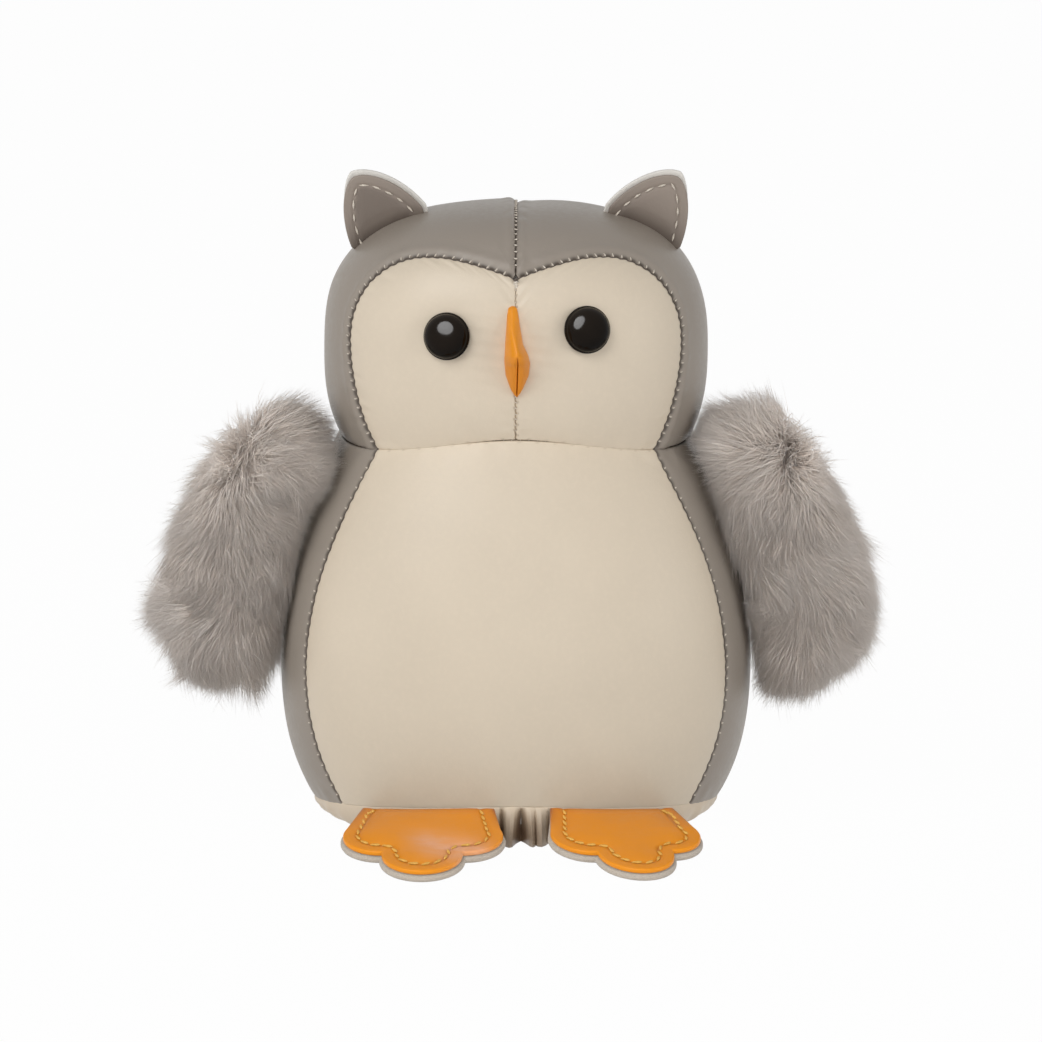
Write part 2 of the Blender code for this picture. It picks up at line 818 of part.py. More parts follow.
def beak_section(row):
    # Height, half width and reach of the beak, from its top at row 0 to its foot at row 1.
    width = BEAK_EDGE / 2 + BEAK_HALF_WIDTH * math.sin(math.pi * row**BEAK_SKEW_POWER)
    if row < BEAK_APEX_SHARE:
        reach = row / BEAK_APEX_SHARE
    else:
        reach = ((1 - row) / (1 - BEAK_APEX_SHARE)) ** BEAK_FOOT_POWER
    return mix(BEAK_TOP_HEIGHT, BEAK_BOTTOM_HEIGHT, row), width, BEAK_EDGE + BEAK_REACH * reach


def build_beak():
    sides = len(BEAK_SECTION_SHARES)

    def place(column, row):
        height, width, reach = beak_section(min(max((row - 1) / (BEAK_ROWS - 2), 0), 1))
        across, out = BEAK_SECTION_SHARES[column % sides]
        if row in (0, BEAK_ROWS):
            across, out = 0, BEAK_END_SHARE
        seat = head_front(across * width, height).y - SEAM_GAP
        return Vector((across * width, seat - out * reach, height))

    bm = grid_mesh(sides, BEAK_ROWS, place)
    bmesh.ops.recalc_face_normals(bm, faces=bm.faces)
    beak = new_object("beak", bm, ORANGE)
    apex = mix(BEAK_TOP_HEIGHT, BEAK_BOTTOM_HEIGHT, BEAK_APEX_SHARE)
    low = BEAK_BOTTOM_HEIGHT - BEAK_EDGE
    high = apex - BEAK_EDGE
    front = head_front(0, apex).y - 2 * BEAK_REACH
    back = head_front(0, apex).y - 2 * BEAK_EDGE
    slit = bmesh.new()
    bmesh.ops.create_cube(slit, size=1)
    bmesh.ops.scale(slit, verts=slit.verts, vec=(BEAK_SLIT, back - front, high - low))
    bmesh.ops.translate(slit, verts=slit.verts, vec=(0, (back + front) / 2, (high + low) / 2))
    add_cut(beak, new_cutter("beak_slit", slit))


# Ears


def ear_base(sign):
    # The two ends of the ear's base, from left to right, on the crown.
    spread = HEAD_HALF_WIDTH - EAR_SIDE_INSET - EAR_HALF_RUN
    ends = (sign * spread - EAR_HALF_RUN, sign * spread + EAR_HALF_RUN)
    return [crown_point(x, -EAR_SETBACK) for x in ends]


def ear_frame(sign):
    # X runs along the ear's base, and Y up the ear.
    left, right = ear_base(sign)
    along = (right - left).normalized()
    up = Vector((-along.z, 0, along.x))
    turn = Matrix((along, up, along.cross(up))).transposed().to_4x4()
    return Matrix.Translation((left + right) / 2) @ turn


def ear_outline(sign, margin):
    left, right = ear_base(sign)
    half = (right - left).length / 2
    frame = ear_frame(sign)

    def seat(across):
        # How high above the base line the ear starts, to stay clear of the crown.
        over = frame @ Vector((across, 0, 0))
        return (frame.inverted() @ crown_point(over.x, over.y)).y + EAR_GAP

    steps = 2 * LOBE_STEPS
    corner = math.pi * EAR_CORNER_SHARE
    outline = []
    for step in range(steps + 1):
        turn = mix(corner, math.pi - corner, step / steps)
        across = math.copysign(abs(math.cos(turn)) ** (2 / EAR_POWER), math.cos(turn))
        up = math.sin(turn) ** (2 / EAR_POWER)
        outline.append(((half + margin) * across, (EAR_HEIGHT + margin) * up))
    right_end, left_end = outline[0][0], outline[steps][0]
    for step, end in ((0, right_end), (steps, left_end)):
        outline[step] = (end, max(outline[step][1], seat(end) + LEATHER))
    for step in range(1, LOBE_STEPS):
        across = mix(left_end, right_end, step / LOBE_STEPS)
        outline.append((across, seat(across)))
    return outline


def build_ear(side, sign):
    frame = ear_frame(sign)
    pivot = add_pivot(f"ear_{side}_pivot", frame.translation, frame.to_3x3() @ Vector((1, 0, 0)))
    front = frame @ Matrix.Translation((0, 0, SEAM_GAP / 2))
    back = frame @ Matrix.Translation((0, 0, -SEAM_GAP / 2 - LEATHER))
    outer = sheet_piece(f"ear_{side}_front", ear_outline(sign, 0), LEATHER, front, TAUPE_DARK)
    lining = sheet_piece(f"ear_{side}_lining", ear_outline(sign, EAR_LINING_MARGIN), LEATHER, back, CREAM)
    hang_on(pivot, outer)
    hang_on(pivot, lining)


# Feet


def foot_seam(x, height):
    # The point in front of the body where a foot is sewn on.
    halves = body_halves(height)
    share = min(abs(x) / halves[0], 1)
    depth = halves[1] * (1 - share**PLAN_POWER) ** (1 / PLAN_POWER)
    return Vector((x, -depth - FOOT_GAP, height))


def foot_hinge(sign):
    spread = FOOT_LEFT_SPREAD if sign < 0 else FOOT_RIGHT_SPREAD
    return foot_seam(sign * spread, FOOT_HINGE_HEIGHT)


def foot_axis(sign):
    # Along the seam and towards -X, so that a foot that turns about it rises.
    x = sign * (FOOT_LEFT_SPREAD if sign < 0 else FOOT_RIGHT_SPREAD)
    ends = [foot_seam(x + step, FOOT_HINGE_HEIGHT) for step in (SEAM_GAP, -SEAM_GAP)]
    return (ends[1] - ends[0]).normalized()


def foot_slope():
    # The slope at which the front edge of the sole comes down to the floor.
    length = FRONT_LOBE_REACH + FRONT_LOBE_RADIUS + SOLE_MARGIN
    thickness = FOOT_TOP + SEAM_GAP + FOOT_SOLE
    return math.asin(FOOT_HINGE_HEIGHT / math.hypot(length, thickness)) - math.atan2(thickness, length)


def foot_frame(sign):
    # X across the foot, Y forward along it and Z out of its upper face.
    turn = math.radians(FOOT_LEFT_TURN_DEGREES if sign < 0 else FOOT_RIGHT_TURN_DEGREES)
    forward = Matrix.Rotation(math.pi + sign * turn, 4, "Z")
    slope = Matrix.Rotation(-foot_slope(), 4, "X")
    return Matrix.Translation(foot_hinge(sign)) @ forward @ slope


def arc(centre, radius, first, last, steps):
    turns = [mix(first, last, i / steps) for i in range(steps + 1)]
    return [(centre[0] + radius * math.cos(t), centre[1] + radius * math.sin(t)) for t in turns]


def foot_outline(sign, margin, setback):
    side = SIDE_LOBE_RADIUS + margin
    front = FRONT_LOBE_RADIUS + margin
    across = SIDE_LOBE_OFFSET
    rise = FRONT_LOBE_REACH - SIDE_LOBE_REACH
    apart = math.hypot(across, rise)
    lean = math.atan2(rise, across)
    side_bite = math.acos((apart**2 + side**2 - front**2) / (2 * apart * side))
    front_bite = math.acos((apart**2 + front**2 - side**2) / (2 * apart * front))
    heel = -math.radians(FOOT_HEEL_DEGREES)
    half = arc((across, SIDE_LOBE_REACH), side, heel, math.pi - lean - side_bite, LOBE_STEPS)
    half += arc((0, FRONT_LOBE_REACH), front, -lean + front_bite, math.pi / 2, LOBE_STEPS)[1:]
    outline = half + [(-x, y) for x, y in reversed(half[:-1])]
    for step in range(LOBE_STEPS + 1):
        x = mix(-FOOT_BACK_HALF_WIDTH, FOOT_BACK_HALF_WIDTH, step / LOBE_STEPS)
        outline.append((x, foot_back(foot_frame(sign), x) + setback))
    return outline


def foot_back(frame, x):
    # How far forward of the hinge the foot starts at this x, to stay clear of the body.
    start = 0.0
    for _ in range(FIT_ROUNDS):
        spot = frame @ Vector((x, start, 0))
        start += spot.y - foot_seam(spot.x, spot.z).y
    return start


def build_foot(side, sign):
    pivot = add_pivot(f"foot_{side}_pivot", foot_hinge(sign), foot_axis(sign))
    frame = foot_frame(sign)
    upper = frame @ Matrix.Translation((0, 0, -FOOT_TOP))
    lower = frame @ Matrix.Translation((0, 0, -FOOT_TOP - SEAM_GAP - FOOT_SOLE))
    top_outline = foot_outline(sign, 0, 0)
    sole_outline = foot_outline(sign, SOLE_MARGIN, SOLE_SETBACK)
    top = sheet_piece(f"foot_{side}_top", top_outline, FOOT_TOP, upper, ORANGE)
    sole = sheet_piece(f"foot_{side}_sole", sole_outline, FOOT_SOLE, lower, SOLE_WHITE)
    hang_on(pivot, top)
    hang_on(pivot, sole)


# Wings


def outside_torso(point, sign, clearance):
    # Moves a point of the wing sideways until it is clear of the body and the head.
    reach = abs(point.x)
    for halves in (body_halves(min(point.z, NECK_HEIGHT)), head_halves(max(point.z, NECK_HEIGHT))):
        depth = halves[1] if point.y < 0 else halves[2]
        share = min(abs(point.y) / depth, 1)
        side = halves[0] * (1 - share**PLAN_POWER) ** (1 / PLAN_POWER)
        reach = max(reach, side + clearance)
    return Vector((sign * reach, point.y, point.z))


def wing_root(sign):
    return Vector((sign * WING_ROOT_SPREAD, -WING_ROOT_SETBACK, WING_ROOT_HEIGHT))


def wing_point(sign, angle, ring, front, inset, gap=0.0):
    # A point of the wing pad: angle goes round its outline and ring is 0 at its middle, 1 at its seam.
    lean = math.radians(WING_LEAN_DEGREES)
    down = Vector((sign * math.sin(lean), 0, -math.cos(lean)))
    out = Vector((sign * math.cos(lean), 0, math.sin(lean)))
    reach = squared_reach(angle, WING_OUTLINE_POWER)
    along = reach * math.cos(angle)
    taper = 1 - WING_ROOT_TAPER_SHARE * max(-along, 0) ** 2
    length = (WING_HALF_LENGTH - inset) * along * ring
    width = (WING_HALF_WIDTH - inset) * reach * math.sin(angle) * taper * ring
    swell = (1 - ring**WING_SWELL_POWER) ** (1 / WING_SWELL_POWER)
    depth = (WING_HALF_THICKNESS - inset) * swell
    middle = wing_root(sign) + down * (WING_HALF_LENGTH - WING_RISE) + out * WING_OFFSET
    point = middle + down * length + out * width + Vector((0, front * (depth + gap), 0))
    return outside_torso(point, sign, SEAM_GAP + inset)


def wing_solid(name, sign, rings, gap, finish):
    # A closed solid through rings of the wing, each with its share, its side and its inset.
    def place(column, row):
        angle = math.tau * (column % ROUND_STEPS) / ROUND_STEPS
        ring, front, inset = rings[row]
        return wing_point(sign, angle, ring, front, inset, gap)

    bm = grid_mesh(ROUND_STEPS, len(rings) - 1, place)
    bmesh.ops.recalc_face_normals(bm, faces=bm.faces)
    return new_object(name, bm, finish)


def build_wing_cover(name, sign, front):
    # One half of the cover: its outer face from the middle to the seam, and its inner face back.
    rings = [(ring, front, 0) for ring in WING_COVER_SHARES]
    rings += [(ring, front, FUR_FABRIC) for ring in reversed(WING_COVER_SHARES)]
    return wing_solid(name, sign, rings, SEAM_GAP / 2, FUR_GREY)


def build_wing_stuffing(name, sign):
    inset = FUR_FABRIC + FILL_GAP
    rings = [(ring, -1, inset) for ring in WING_FILL_SHARES]
    rings += [(ring, 1, inset) for ring in reversed(WING_FILL_SHARES[:-1])]
    return wing_solid(name, sign, rings, 0, FIBRE_WHITE)


def build_wing(side, sign):
    pivot = add_pivot(f"wing_{side}_pivot", wing_root(sign), Vector((0, -sign, 0)))
    hang_on(pivot, build_wing_cover(f"wing_{side}_front", sign, -1))
    hang_on(pivot, build_wing_cover(f"wing_{side}_back", sign, 1))
    hang_on(pivot, build_wing_stuffing(f"wing_{side}_stuffing", sign))


clear_scene()
owl_parts = new_collection("plush_owl")
cutters = new_collection("cutters")
cutters.hide_render = True

build_belly_panel()
build_base_panel()
build_base_board()
build_pellet_pouch()
build_body_stuffing()
build_head_stuffing()
build_beak()
for owl_side, owl_sign in SIDES:
    build_side_panel(owl_side, owl_sign)
    build_face_panel(owl_side, owl_sign)
    build_head_panel(owl_side, owl_sign)
    build_eye(owl_side, owl_sign)
    build_washer(owl_side, owl_sign)
    build_ear(owl_side, owl_sign)
    build_foot(owl_side, owl_sign)
    build_wing(owl_side, owl_sign)
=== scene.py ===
import math

import bpy
import numpy as np
from mathutils import Matrix, Vector


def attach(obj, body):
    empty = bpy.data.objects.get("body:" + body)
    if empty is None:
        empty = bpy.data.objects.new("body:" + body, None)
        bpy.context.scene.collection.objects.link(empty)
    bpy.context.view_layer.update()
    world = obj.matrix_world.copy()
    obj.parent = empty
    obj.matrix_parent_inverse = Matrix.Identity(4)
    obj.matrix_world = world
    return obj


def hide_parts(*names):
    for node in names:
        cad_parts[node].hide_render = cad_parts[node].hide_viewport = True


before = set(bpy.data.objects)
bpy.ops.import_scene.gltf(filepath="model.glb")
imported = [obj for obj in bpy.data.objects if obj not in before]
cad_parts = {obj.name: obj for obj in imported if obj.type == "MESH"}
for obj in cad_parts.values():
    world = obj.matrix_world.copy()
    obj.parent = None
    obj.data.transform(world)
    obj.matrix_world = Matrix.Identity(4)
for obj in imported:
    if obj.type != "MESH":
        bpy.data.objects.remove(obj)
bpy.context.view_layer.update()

scene = bpy.context.scene
scene.view_settings.view_transform = "Standard"
print("frame loaded,", len(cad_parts), "nodes")


# shader nodes

def addNode(tree, kind, sockets=(), **settings):
    # A new node. Each socket, by its name or number, is given a value, a colour or an output to read.
    node = tree.nodes.new(kind)
    for name, value in settings.items():
        setattr(node, name, value)
    for key, value in dict(sockets).items():
        socket = node.inputs[key]
        if isinstance(value, bpy.types.NodeSocket):
            tree.links.new(value, socket)
        elif socket.type == "RGBA":
            socket.default_value = (*value, 1)
        else:
            socket.default_value = value
    return node


def sumOf(tree, first, second, way="ADD"):
    return addNode(tree, "ShaderNodeMath", {0: first, 1: second}, operation=way).outputs[0]


def noiseNode(tree, scale, detail=3.0, rough=0.55, stretch=(1, 1, 1)):
    place = addNode(tree, "ShaderNodeTexCoord")
    turn = addNode(tree, "ShaderNodeMapping", {"Vector": place.outputs["Object"], "Scale": stretch})
    settings = {"Vector": turn.outputs[0], "Scale": scale, "Detail": detail, "Roughness": rough}
    return addNode(tree, "ShaderNodeTexNoise", settings).outputs["Fac"]


def pebbleNode(tree, scale):
    place = addNode(tree, "ShaderNodeTexCoord")
    settings = {"Vector": place.outputs["Object"], "Scale": scale}
    return addNode(tree, "ShaderNodeTexVoronoi", settings, feature="SMOOTH_F1").outputs["Distance"]


def spread(tree, value, low, high, fromLow=0.0, fromHigh=1.0):
    limits = {"Value": value, "From Min": fromLow, "From Max": fromHigh, "To Min": low, "To Max": high}
    return addNode(tree, "ShaderNodeMapRange", limits).outputs["Result"]


def blendColour(tree, share, first, second):
    return addNode(tree, "ShaderNodeMix", {0: share, 6: first, 7: second}, data_type="RGBA").outputs[2]


def readValue(tree, name):
    return addNode(tree, "ShaderNodeAttribute", attribute_name=name).outputs["Fac"]


# camera, floor and light

view = dict(lens=142.0, distance=0.9, lift=10.0, target=(0.0011, 0, 0.0626))


def buildCamera():
    lift = math.radians(view["lift"])
    spot = Vector(view["target"]) + Vector((0, -math.cos(lift), math.sin(lift))) * view["distance"]
    bpy.ops.object.camera_add(location=spot, rotation=(math.pi / 2 - lift, 0, 0))
    camera = bpy.context.object
    camera.name = "photoCamera"
    camera.data.lens = view["lens"]
    camera.data.sensor_width = 36
    camera.data.clip_start = 0.05
    scene.camera = camera


# lamp: place, size in metres, power in watts
lamps = dict(
    key=((-0.42, -0.75, 0.85), 0.70, 4.8),
    left=((-0.98, -0.45, 0.16), 0.70, 3.9),
    right=((0.95, -0.50, 0.18), 0.70, 4.15),
    front=((0.10, -1.05, 0.10), 0.70, 3.05),
    catch=((-0.345, -0.80, 0.74), 1.05, 92.0),
)
ambient = 0.13


def aimAt(spot, target):
    return (Vector(target) - Vector(spot)).to_track_quat("-Z", "Y").to_euler()


def buildLamps():
    for name, (spot, size, power) in lamps.items():
        bpy.ops.object.light_add(type="AREA", location=spot, rotation=aimAt(spot, (0, 0, 0.07)))
        lamp = bpy.context.object
        lamp.name = name + "Lamp"
        lamp.data.shape = "DISK"
        lamp.data.size = size
        lamp.data.energy = power
        lamp.visible_glossy = name in ("key", "catch")


def backgroundRays(tree):
    # 1 where the camera, a reflection or a see-through ray meets the background
    path = addNode(tree, "ShaderNodeLightPath")
    seen = sumOf(tree, path.outputs["Is Camera Ray"], path.outputs["Is Glossy Ray"], "MAXIMUM")
    return sumOf(tree, seen, path.outputs["Is Transmission Ray"], "MAXIMUM")


def clearedTree(owner):
    owner.use_nodes = True
    owner.node_tree.nodes.clear()
    return owner.node_tree


def buildWorld():
    scene.world = bpy.data.worlds.new("studioWhite")
    tree = clearedTree(scene.world)
    plain = addNode(tree, "ShaderNodeBackground", {"Color": (1, 1, 1), "Strength": ambient})
    white = addNode(tree, "ShaderNodeBackground", {"Color": (1, 1, 1), "Strength": 1.0})
    share = backgroundRays(tree)
    mix = addNode(tree, "ShaderNodeMixShader", {0: share, 1: plain.outputs[0], 2: white.outputs[0]})
    addNode(tree, "ShaderNodeOutputWorld", {"Surface": mix.outputs[0]})


floor = dict(size=40.0, below=0.00005, white=0.86, glow=0.98)


def buildFloor():
    bpy.ops.mesh.primitive_plane_add(size=floor["size"], location=(0, 0, -floor["below"]))
    plane = bpy.context.object
    plane.name = "paleFloor"
    material = bpy.data.materials.new("paleFloor")
    tree = clearedTree(material)
    plain = addNode(tree, "ShaderNodeBsdfDiffuse", {"Color": (floor["white"],) * 3})
    glow = addNode(tree, "ShaderNodeEmission")
    share = sumOf(tree, backgroundRays(tree), floor["glow"], "MULTIPLY")
    mix = addNode(tree, "ShaderNodeMixShader", {0: share, 1: plain.outputs[0], 2: glow.outputs[0]})
    addNode(tree, "ShaderNodeOutputMaterial", {"Surface": mix.outputs[0]})
    plane.data.materials.append(material)


buildCamera()
buildLamps()
buildWorld()
buildFloor()
print("camera, lamps and floor are set")


# finishes

def newFinish(name, roughness, specular):
    material = bpy.data.materials.new(name)
    material.use_nodes = True
    shader = material.node_tree.nodes["Principled BSDF"]
    shader.inputs["Roughness"].default_value = roughness
    shader.inputs["Specular IOR Level"].default_value = specular
    return material, material.node_tree, shader


def addBump(tree, shader, height, distance, strength):
    bump = addNode(tree, "ShaderNodeBump", {"Height": height, "Distance": distance, "Strength": strength})
    tree.links.new(bump.outputs[0], shader.inputs["Normal"])


def grainyFinish(name, roughness, gloss, noise, tones, bump, narrow=None, sheen=()):
    # Two tones blended by a noise, which is the bump too. narrow is the part of it that is stretched.
    material, tree, shader = newFinish(name, roughness, gloss)
    grain = noiseNode(tree, *noise)
    share = spread(tree, grain, 0, 1, *narrow) if narrow else grain
    tree.links.new(blendColour(tree, share, *tones), shader.inputs["Base Color"])
    for socket, value in zip(("Sheen Weight", "Sheen Roughness"), sheen):
        shader.inputs[socket].default_value = value
    addBump(tree, shader, grain, *bump)
    return material


def leatherette(name, colour, shade, roughness=0.43, grain=0.00005, pebble=2600, gloss=0.5, sheenTone=None):
    # colour is the plain tone, shade the tone of the painted shade at seams, creases and recesses, and the
    # last tone that of a painted sheen where a piece stores one
    material, tree, shader = newFinish(name, roughness, gloss)
    fine = noiseNode(tree, 900, 3)
    broad = spread(tree, noiseNode(tree, 55, 2), 0.0, 0.35, 0.3, 0.7)
    tone = blendColour(tree, broad, colour, tuple(c * 0.90 for c in colour))
    specks = spread(tree, fine, 0.0, 0.20, 0.45, 0.75)
    tone = blendColour(tree, specks, tone, tuple(min(c * 1.10, 1) for c in colour))
    # a painted sheen, pale in streaks where a piece stores one
    if sheenTone:
        streaks = spread(tree, noiseNode(tree, 420, 3, 0.6, (0.35, 1, 1)), 0.55, 1.0, 0.35, 0.65)
        tone = blendColour(tree, sumOf(tree, readValue(tree, "paintedSheen"), streaks, "MULTIPLY"), tone, sheenTone)
    # painted shade: darker near each seam and wherever a piece stores painted shade
    near = spread(tree, readValue(tree, "seam"), 0.50, 0.0, 0.0, 0.30)
    paintedShade = sumOf(tree, near, readValue(tree, "paintedShade"), "MAXIMUM")
    tree.links.new(blendColour(tree, paintedShade, tone, shade), shader.inputs["Base Color"])
    sheen = spread(tree, fine, roughness - 0.05, roughness + 0.07, 0.3, 0.7)
    tree.links.new(sheen, shader.inputs["Roughness"])
    pebbles = sumOf(tree, pebbleNode(tree, pebble), 0.55, "MULTIPLY")
    addBump(tree, shader, sumOf(tree, pebbles, sumOf(tree, fine, 0.6, "MULTIPLY")), grain, 0.55)
    return material


def threadFinish(name, colour, shade):
    return grainyFinish(name, 0.62, 0.35, (5200, 2), (shade, colour), (0.00004, 0.6), narrow=(0.35, 0.65))


cream = leatherette("creamLeatherette", (0.715, 0.615, 0.485), (0.34, 0.245, 0.155))
taupe = leatherette("taupeLeatherette", (0.300, 0.259, 0.218), (0.060, 0.045, 0.034))
# the base, whose browner shade tone is for the painted shade in its gathers
baseCream = leatherette("gatheredLeatherette", (0.700, 0.585, 0.450), (0.215, 0.130, 0.075))
earTaupe = leatherette("earLeatherette", (0.300, 0.250, 0.211), (0.060, 0.043, 0.033), 0.5)
earCream = leatherette("earLining", (0.735, 0.705, 0.655), (0.40, 0.36, 0.31))
# its last tone is that of the painted sheen on the left foot
orange = leatherette("orangeLeatherette", (0.98, 0.338, 0.011), (0.34, 0.052, 0.004),
                     0.36, 0.00004, 2400, 0.35, (0.97, 0.50, 0.30))
beakOrange = leatherette("beakLeatherette", (0.86, 0.305, 0.010), (0.30, 0.040, 0.005),
                         0.33, 0.00003, 2600, 0.42)
# darker copies of the leathers for the edges turned in behind the seams, painted shade for the gap there
shadedTurnedCream = leatherette("shadedTurnedCream", (0.42, 0.32, 0.22), (0.30, 0.22, 0.15), 0.6)
shadedTurnedTaupe = leatherette("shadedTurnedTaupe", (0.085, 0.066, 0.052), (0.05, 0.04, 0.03), 0.6)
soleFelt = grainyFinish("soleFelt", 0.92, 0.2, (2600, 5, 0.7, (1, 1, 2.2)),
                        ((0.51, 0.440, 0.365), (0.73, 0.650, 0.560)), (0.00012, 0.8),
                        narrow=(0.3, 0.7), sheen=(0.25, 0.5))
creamThread = threadFinish("creamThread", (0.80, 0.74, 0.65), (0.50, 0.43, 0.35))
darkThread = threadFinish("taupeThread", (0.16, 0.13, 0.11), (0.07, 0.055, 0.045))
orangeThread = threadFinish("orangeThread", (0.97, 0.60, 0.16), (0.85, 0.40, 0.06))
creamSlot, taupeSlot, orangeSlot = (tone + "_leatherette" for tone in ("cream", "taupe", "orange"))
print("finishes are ready")


# surfaces of the owl, as on its paper pattern, in metres

body = dict(neck=0.0834, belt=0.0340, width=0.0514, front=0.0445, back=0.0410,
            sideTuck=0.0090, frontTuck=0.0060, backTuck=0.0055, upper=1.9, lower=2.65,
            rimFront=0.0085, rimSide=0.0030, rimPower=1.5, wave=0.0019,
            belly=0.884, bellyDrop=0.107, bellyMiddle=0.0370)
head = dict(width=0.0414, depth=0.0335, middle=0.1015, crown=0.0310, chin=0.0325, power=2.7, trim=0.0012,
            # edge of the face, as shares of the half width and of the crown's height
            outline=[(0, 0.580), (0.16, 0.655), (0.38, 0.716), (0.57, 0.692), (0.74, 0.550), (0.845, 0.300),
                     (0.860, 0.050), (0.835, -0.190), (0.780, -0.430)])
planPower = 2.5


def squared(angle, power):
    return (np.abs(np.sin(angle)) ** power + np.abs(np.cos(angle)) ** power) ** (-1 / power)


def planPoint(angle, halves, height):
    width, front, back = halves
    reach = squared(angle, planPower)
    depth = np.where(np.cos(angle) > 0, front, back)
    x, y = width * reach * np.sin(angle), -depth * reach * np.cos(angle)
    return np.stack(np.broadcast_arrays(x, y, height), -1)


def headHalves(height):
    reach = np.where(height > head["middle"], head["crown"], head["chin"])
    share = np.minimum(np.abs(height - head["middle"]) / reach, 1)
    narrow = (1 - share ** head["power"]) ** (1 / head["power"])
    return head["width"] * narrow, head["depth"] * narrow, head["depth"] * narrow


def neckWave(angle):
    turn = np.abs((angle + math.pi) % math.tau - math.pi)
    return body["wave"] * np.cos(3 * turn) * (1 + np.cos(turn)) / 2


def headPoint(direction, inset=0.0):
    sides = (head["width"] - inset, head["depth"] - inset)
    reachUp = np.where(direction[..., 2] > 0, head["crown"], head["chin"]) - inset
    plan = np.arctan2(direction[..., 0] / sides[0], -direction[..., 1] / sides[1])
    flat = np.hypot(direction[..., 0] / sides[0], direction[..., 1] / sides[1]) / squared(plan, planPower)
    up = np.abs(direction[..., 2]) / reachUp
    size = (flat ** head["power"] + up ** head["power"]) ** (-1 / head["power"])
    point = direction * size[..., None] + np.array((0, 0, head["middle"]))
    drop = (head["middle"] - point[..., 2]) / (head["middle"] - body["neck"])
    angle = np.arctan2(direction[..., 0], -direction[..., 1])
    point[..., 2] += neckWave(angle) * np.maximum(drop, 0) ** 3
    return point


def headFront(x, height):
    width, depth, _ = headHalves(height)
    share = np.minimum(np.abs(x) / width, 1)
    y = -depth * (1 - share ** planPower) ** (1 / planPower)
    return np.stack(np.broadcast_arrays(x, y, height), -1)


def bodyHalves(height):
    height = np.asarray(height, float)
    belt = (body["width"], body["front"], body["back"])
    tucks = (body["sideTuck"], body["frontTuck"], body["backTuck"])
    up = (np.maximum(height - body["belt"], 0) / (body["neck"] - body["belt"])) ** body["upper"]
    down = (1 - np.clip(height, 0, body["belt"]) / body["belt"]) ** body["lower"]
    necks = headHalves(np.array(body["neck"]))
    return [wide + (neck - wide) * up - tuck * down for wide, neck, tuck in zip(belt, necks, tucks)]


def bodyPoint(angle, height, inset=0.0):
    halves = [half - inset for half in bodyHalves(height)]
    return planPoint(angle, halves, height + neckWave(angle) * (height / body["neck"]) ** 3)


def rimHeight(angle):
    rise = np.maximum(np.cos(angle), 0) ** body["rimPower"]
    return body["rimSide"] + (body["rimFront"] - body["rimSide"]) * rise


def planAngle(share):
    return np.arctan2(share, (1 - share ** planPower) ** (1 / planPower))


def bellyAngle(height):
    reach = np.where(height > body["bellyMiddle"], body["neck"] - body["bellyMiddle"], body["bellyMiddle"])
    share = (height - body["bellyMiddle"]) / reach
    return planAngle(body["belly"] - body["bellyDrop"] * share ** 2)


def coverPoint(angleAt, row):
    low = rimHeight(angleAt(np.full_like(row, body["rimFront"])))
    start = rimHeight(angleAt(low))
    height = start + (body["neck"] - start) * row
    return bodyPoint(angleAt(height), height)


def smoothCurve(knots, share):
    knots = np.asarray(knots)
    spans = len(knots) - 1
    span = np.minimum((share * spans).astype(int), spans - 1)
    t = (share * spans - span)[..., None]
    before, start = knots[np.maximum(span - 1, 0)], knots[span]
    end, after = knots[span + 1], knots[np.minimum(span + 2, spans)]
    bow = start * (2 * t**3 - 3 * t**2 + 1) + end * (3 * t**2 - 2 * t**3)
    return bow + (end - before) / 2 * (t**3 - 2 * t**2 + t) + (after - start) / 2 * (t**3 - t**2)


headMiddle = np.array((0, 0, head["middle"]))


def neckPoint(angle):
    # the neck line before its wave
    return planPoint(angle, bodyHalves(body["neck"]), body["neck"] + 0 * angle)


def faceEdge(sign):
    knots = [headFront(np.array(sign * across * head["width"]), np.array(head["middle"] + up * head["crown"]))
             for across, up in head["outline"]]
    knots.append(neckPoint(sign * bellyAngle(np.array(body["neck"]))))
    return lambda share: smoothCurve(knots, np.asarray(share, float))


def unit(vectors):
    return vectors / np.maximum(np.linalg.norm(vectors, axis=-1, keepdims=True), 1e-12)


def middleLine(notch, end):
    first = math.atan2(-(notch - headMiddle)[1], (notch - headMiddle)[2])
    last = math.atan2(-(end - headMiddle)[1], (end - headMiddle)[2])

    def line(share):
        turn = first + (last - first) * np.asarray(share, float)
        return unit(np.stack([0 * turn, -np.sin(turn), np.cos(turn)], -1)) * 0.032 + headMiddle

    return line


def runAlong(spots):
    # how far along its line each point lies
    return np.concatenate([[0], np.cumsum(np.linalg.norm(np.diff(spots, axis=0), axis=1))])


def evenly(curve, rows):
    # shares of the curve at even distances, for the rows of a panel
    at = np.linspace(0, 1, 2000)
    whole = runAlong(curve(at))[-1]
    at = np.linspace(head["trim"] / whole, 1, 2000)
    run = runAlong(curve(at))
    return np.interp(rows * run[-1], run, at)


def bentBetween(first, second, share):
    a, b = unit(first), unit(second)
    between = np.arccos(np.clip((a * b).sum(-1, keepdims=True), -1, 1))
    between = np.maximum(between, 1e-9)
    share = share[..., None]
    return (a * np.sin(between * (1 - share)) + b * np.sin(between * share)) / np.sin(between)


def headPatch(edge, middle, neck, column, row):
    edgeSpots = edge(evenly(edge, row)) - headMiddle
    middleSpots = middle(evenly(middle, row)) - headMiddle
    across = bentBetween(edgeSpots, middleSpots, column)
    lowEdge, lowMiddle = edge(np.array(1.0)) - headMiddle, middle(np.array(1.0)) - headMiddle
    fix = unit(neck(column) - headMiddle) - bentBetween(lowEdge, lowMiddle, column)
    return headPoint(across + fix * (row**2)[..., None])


# sewn panels

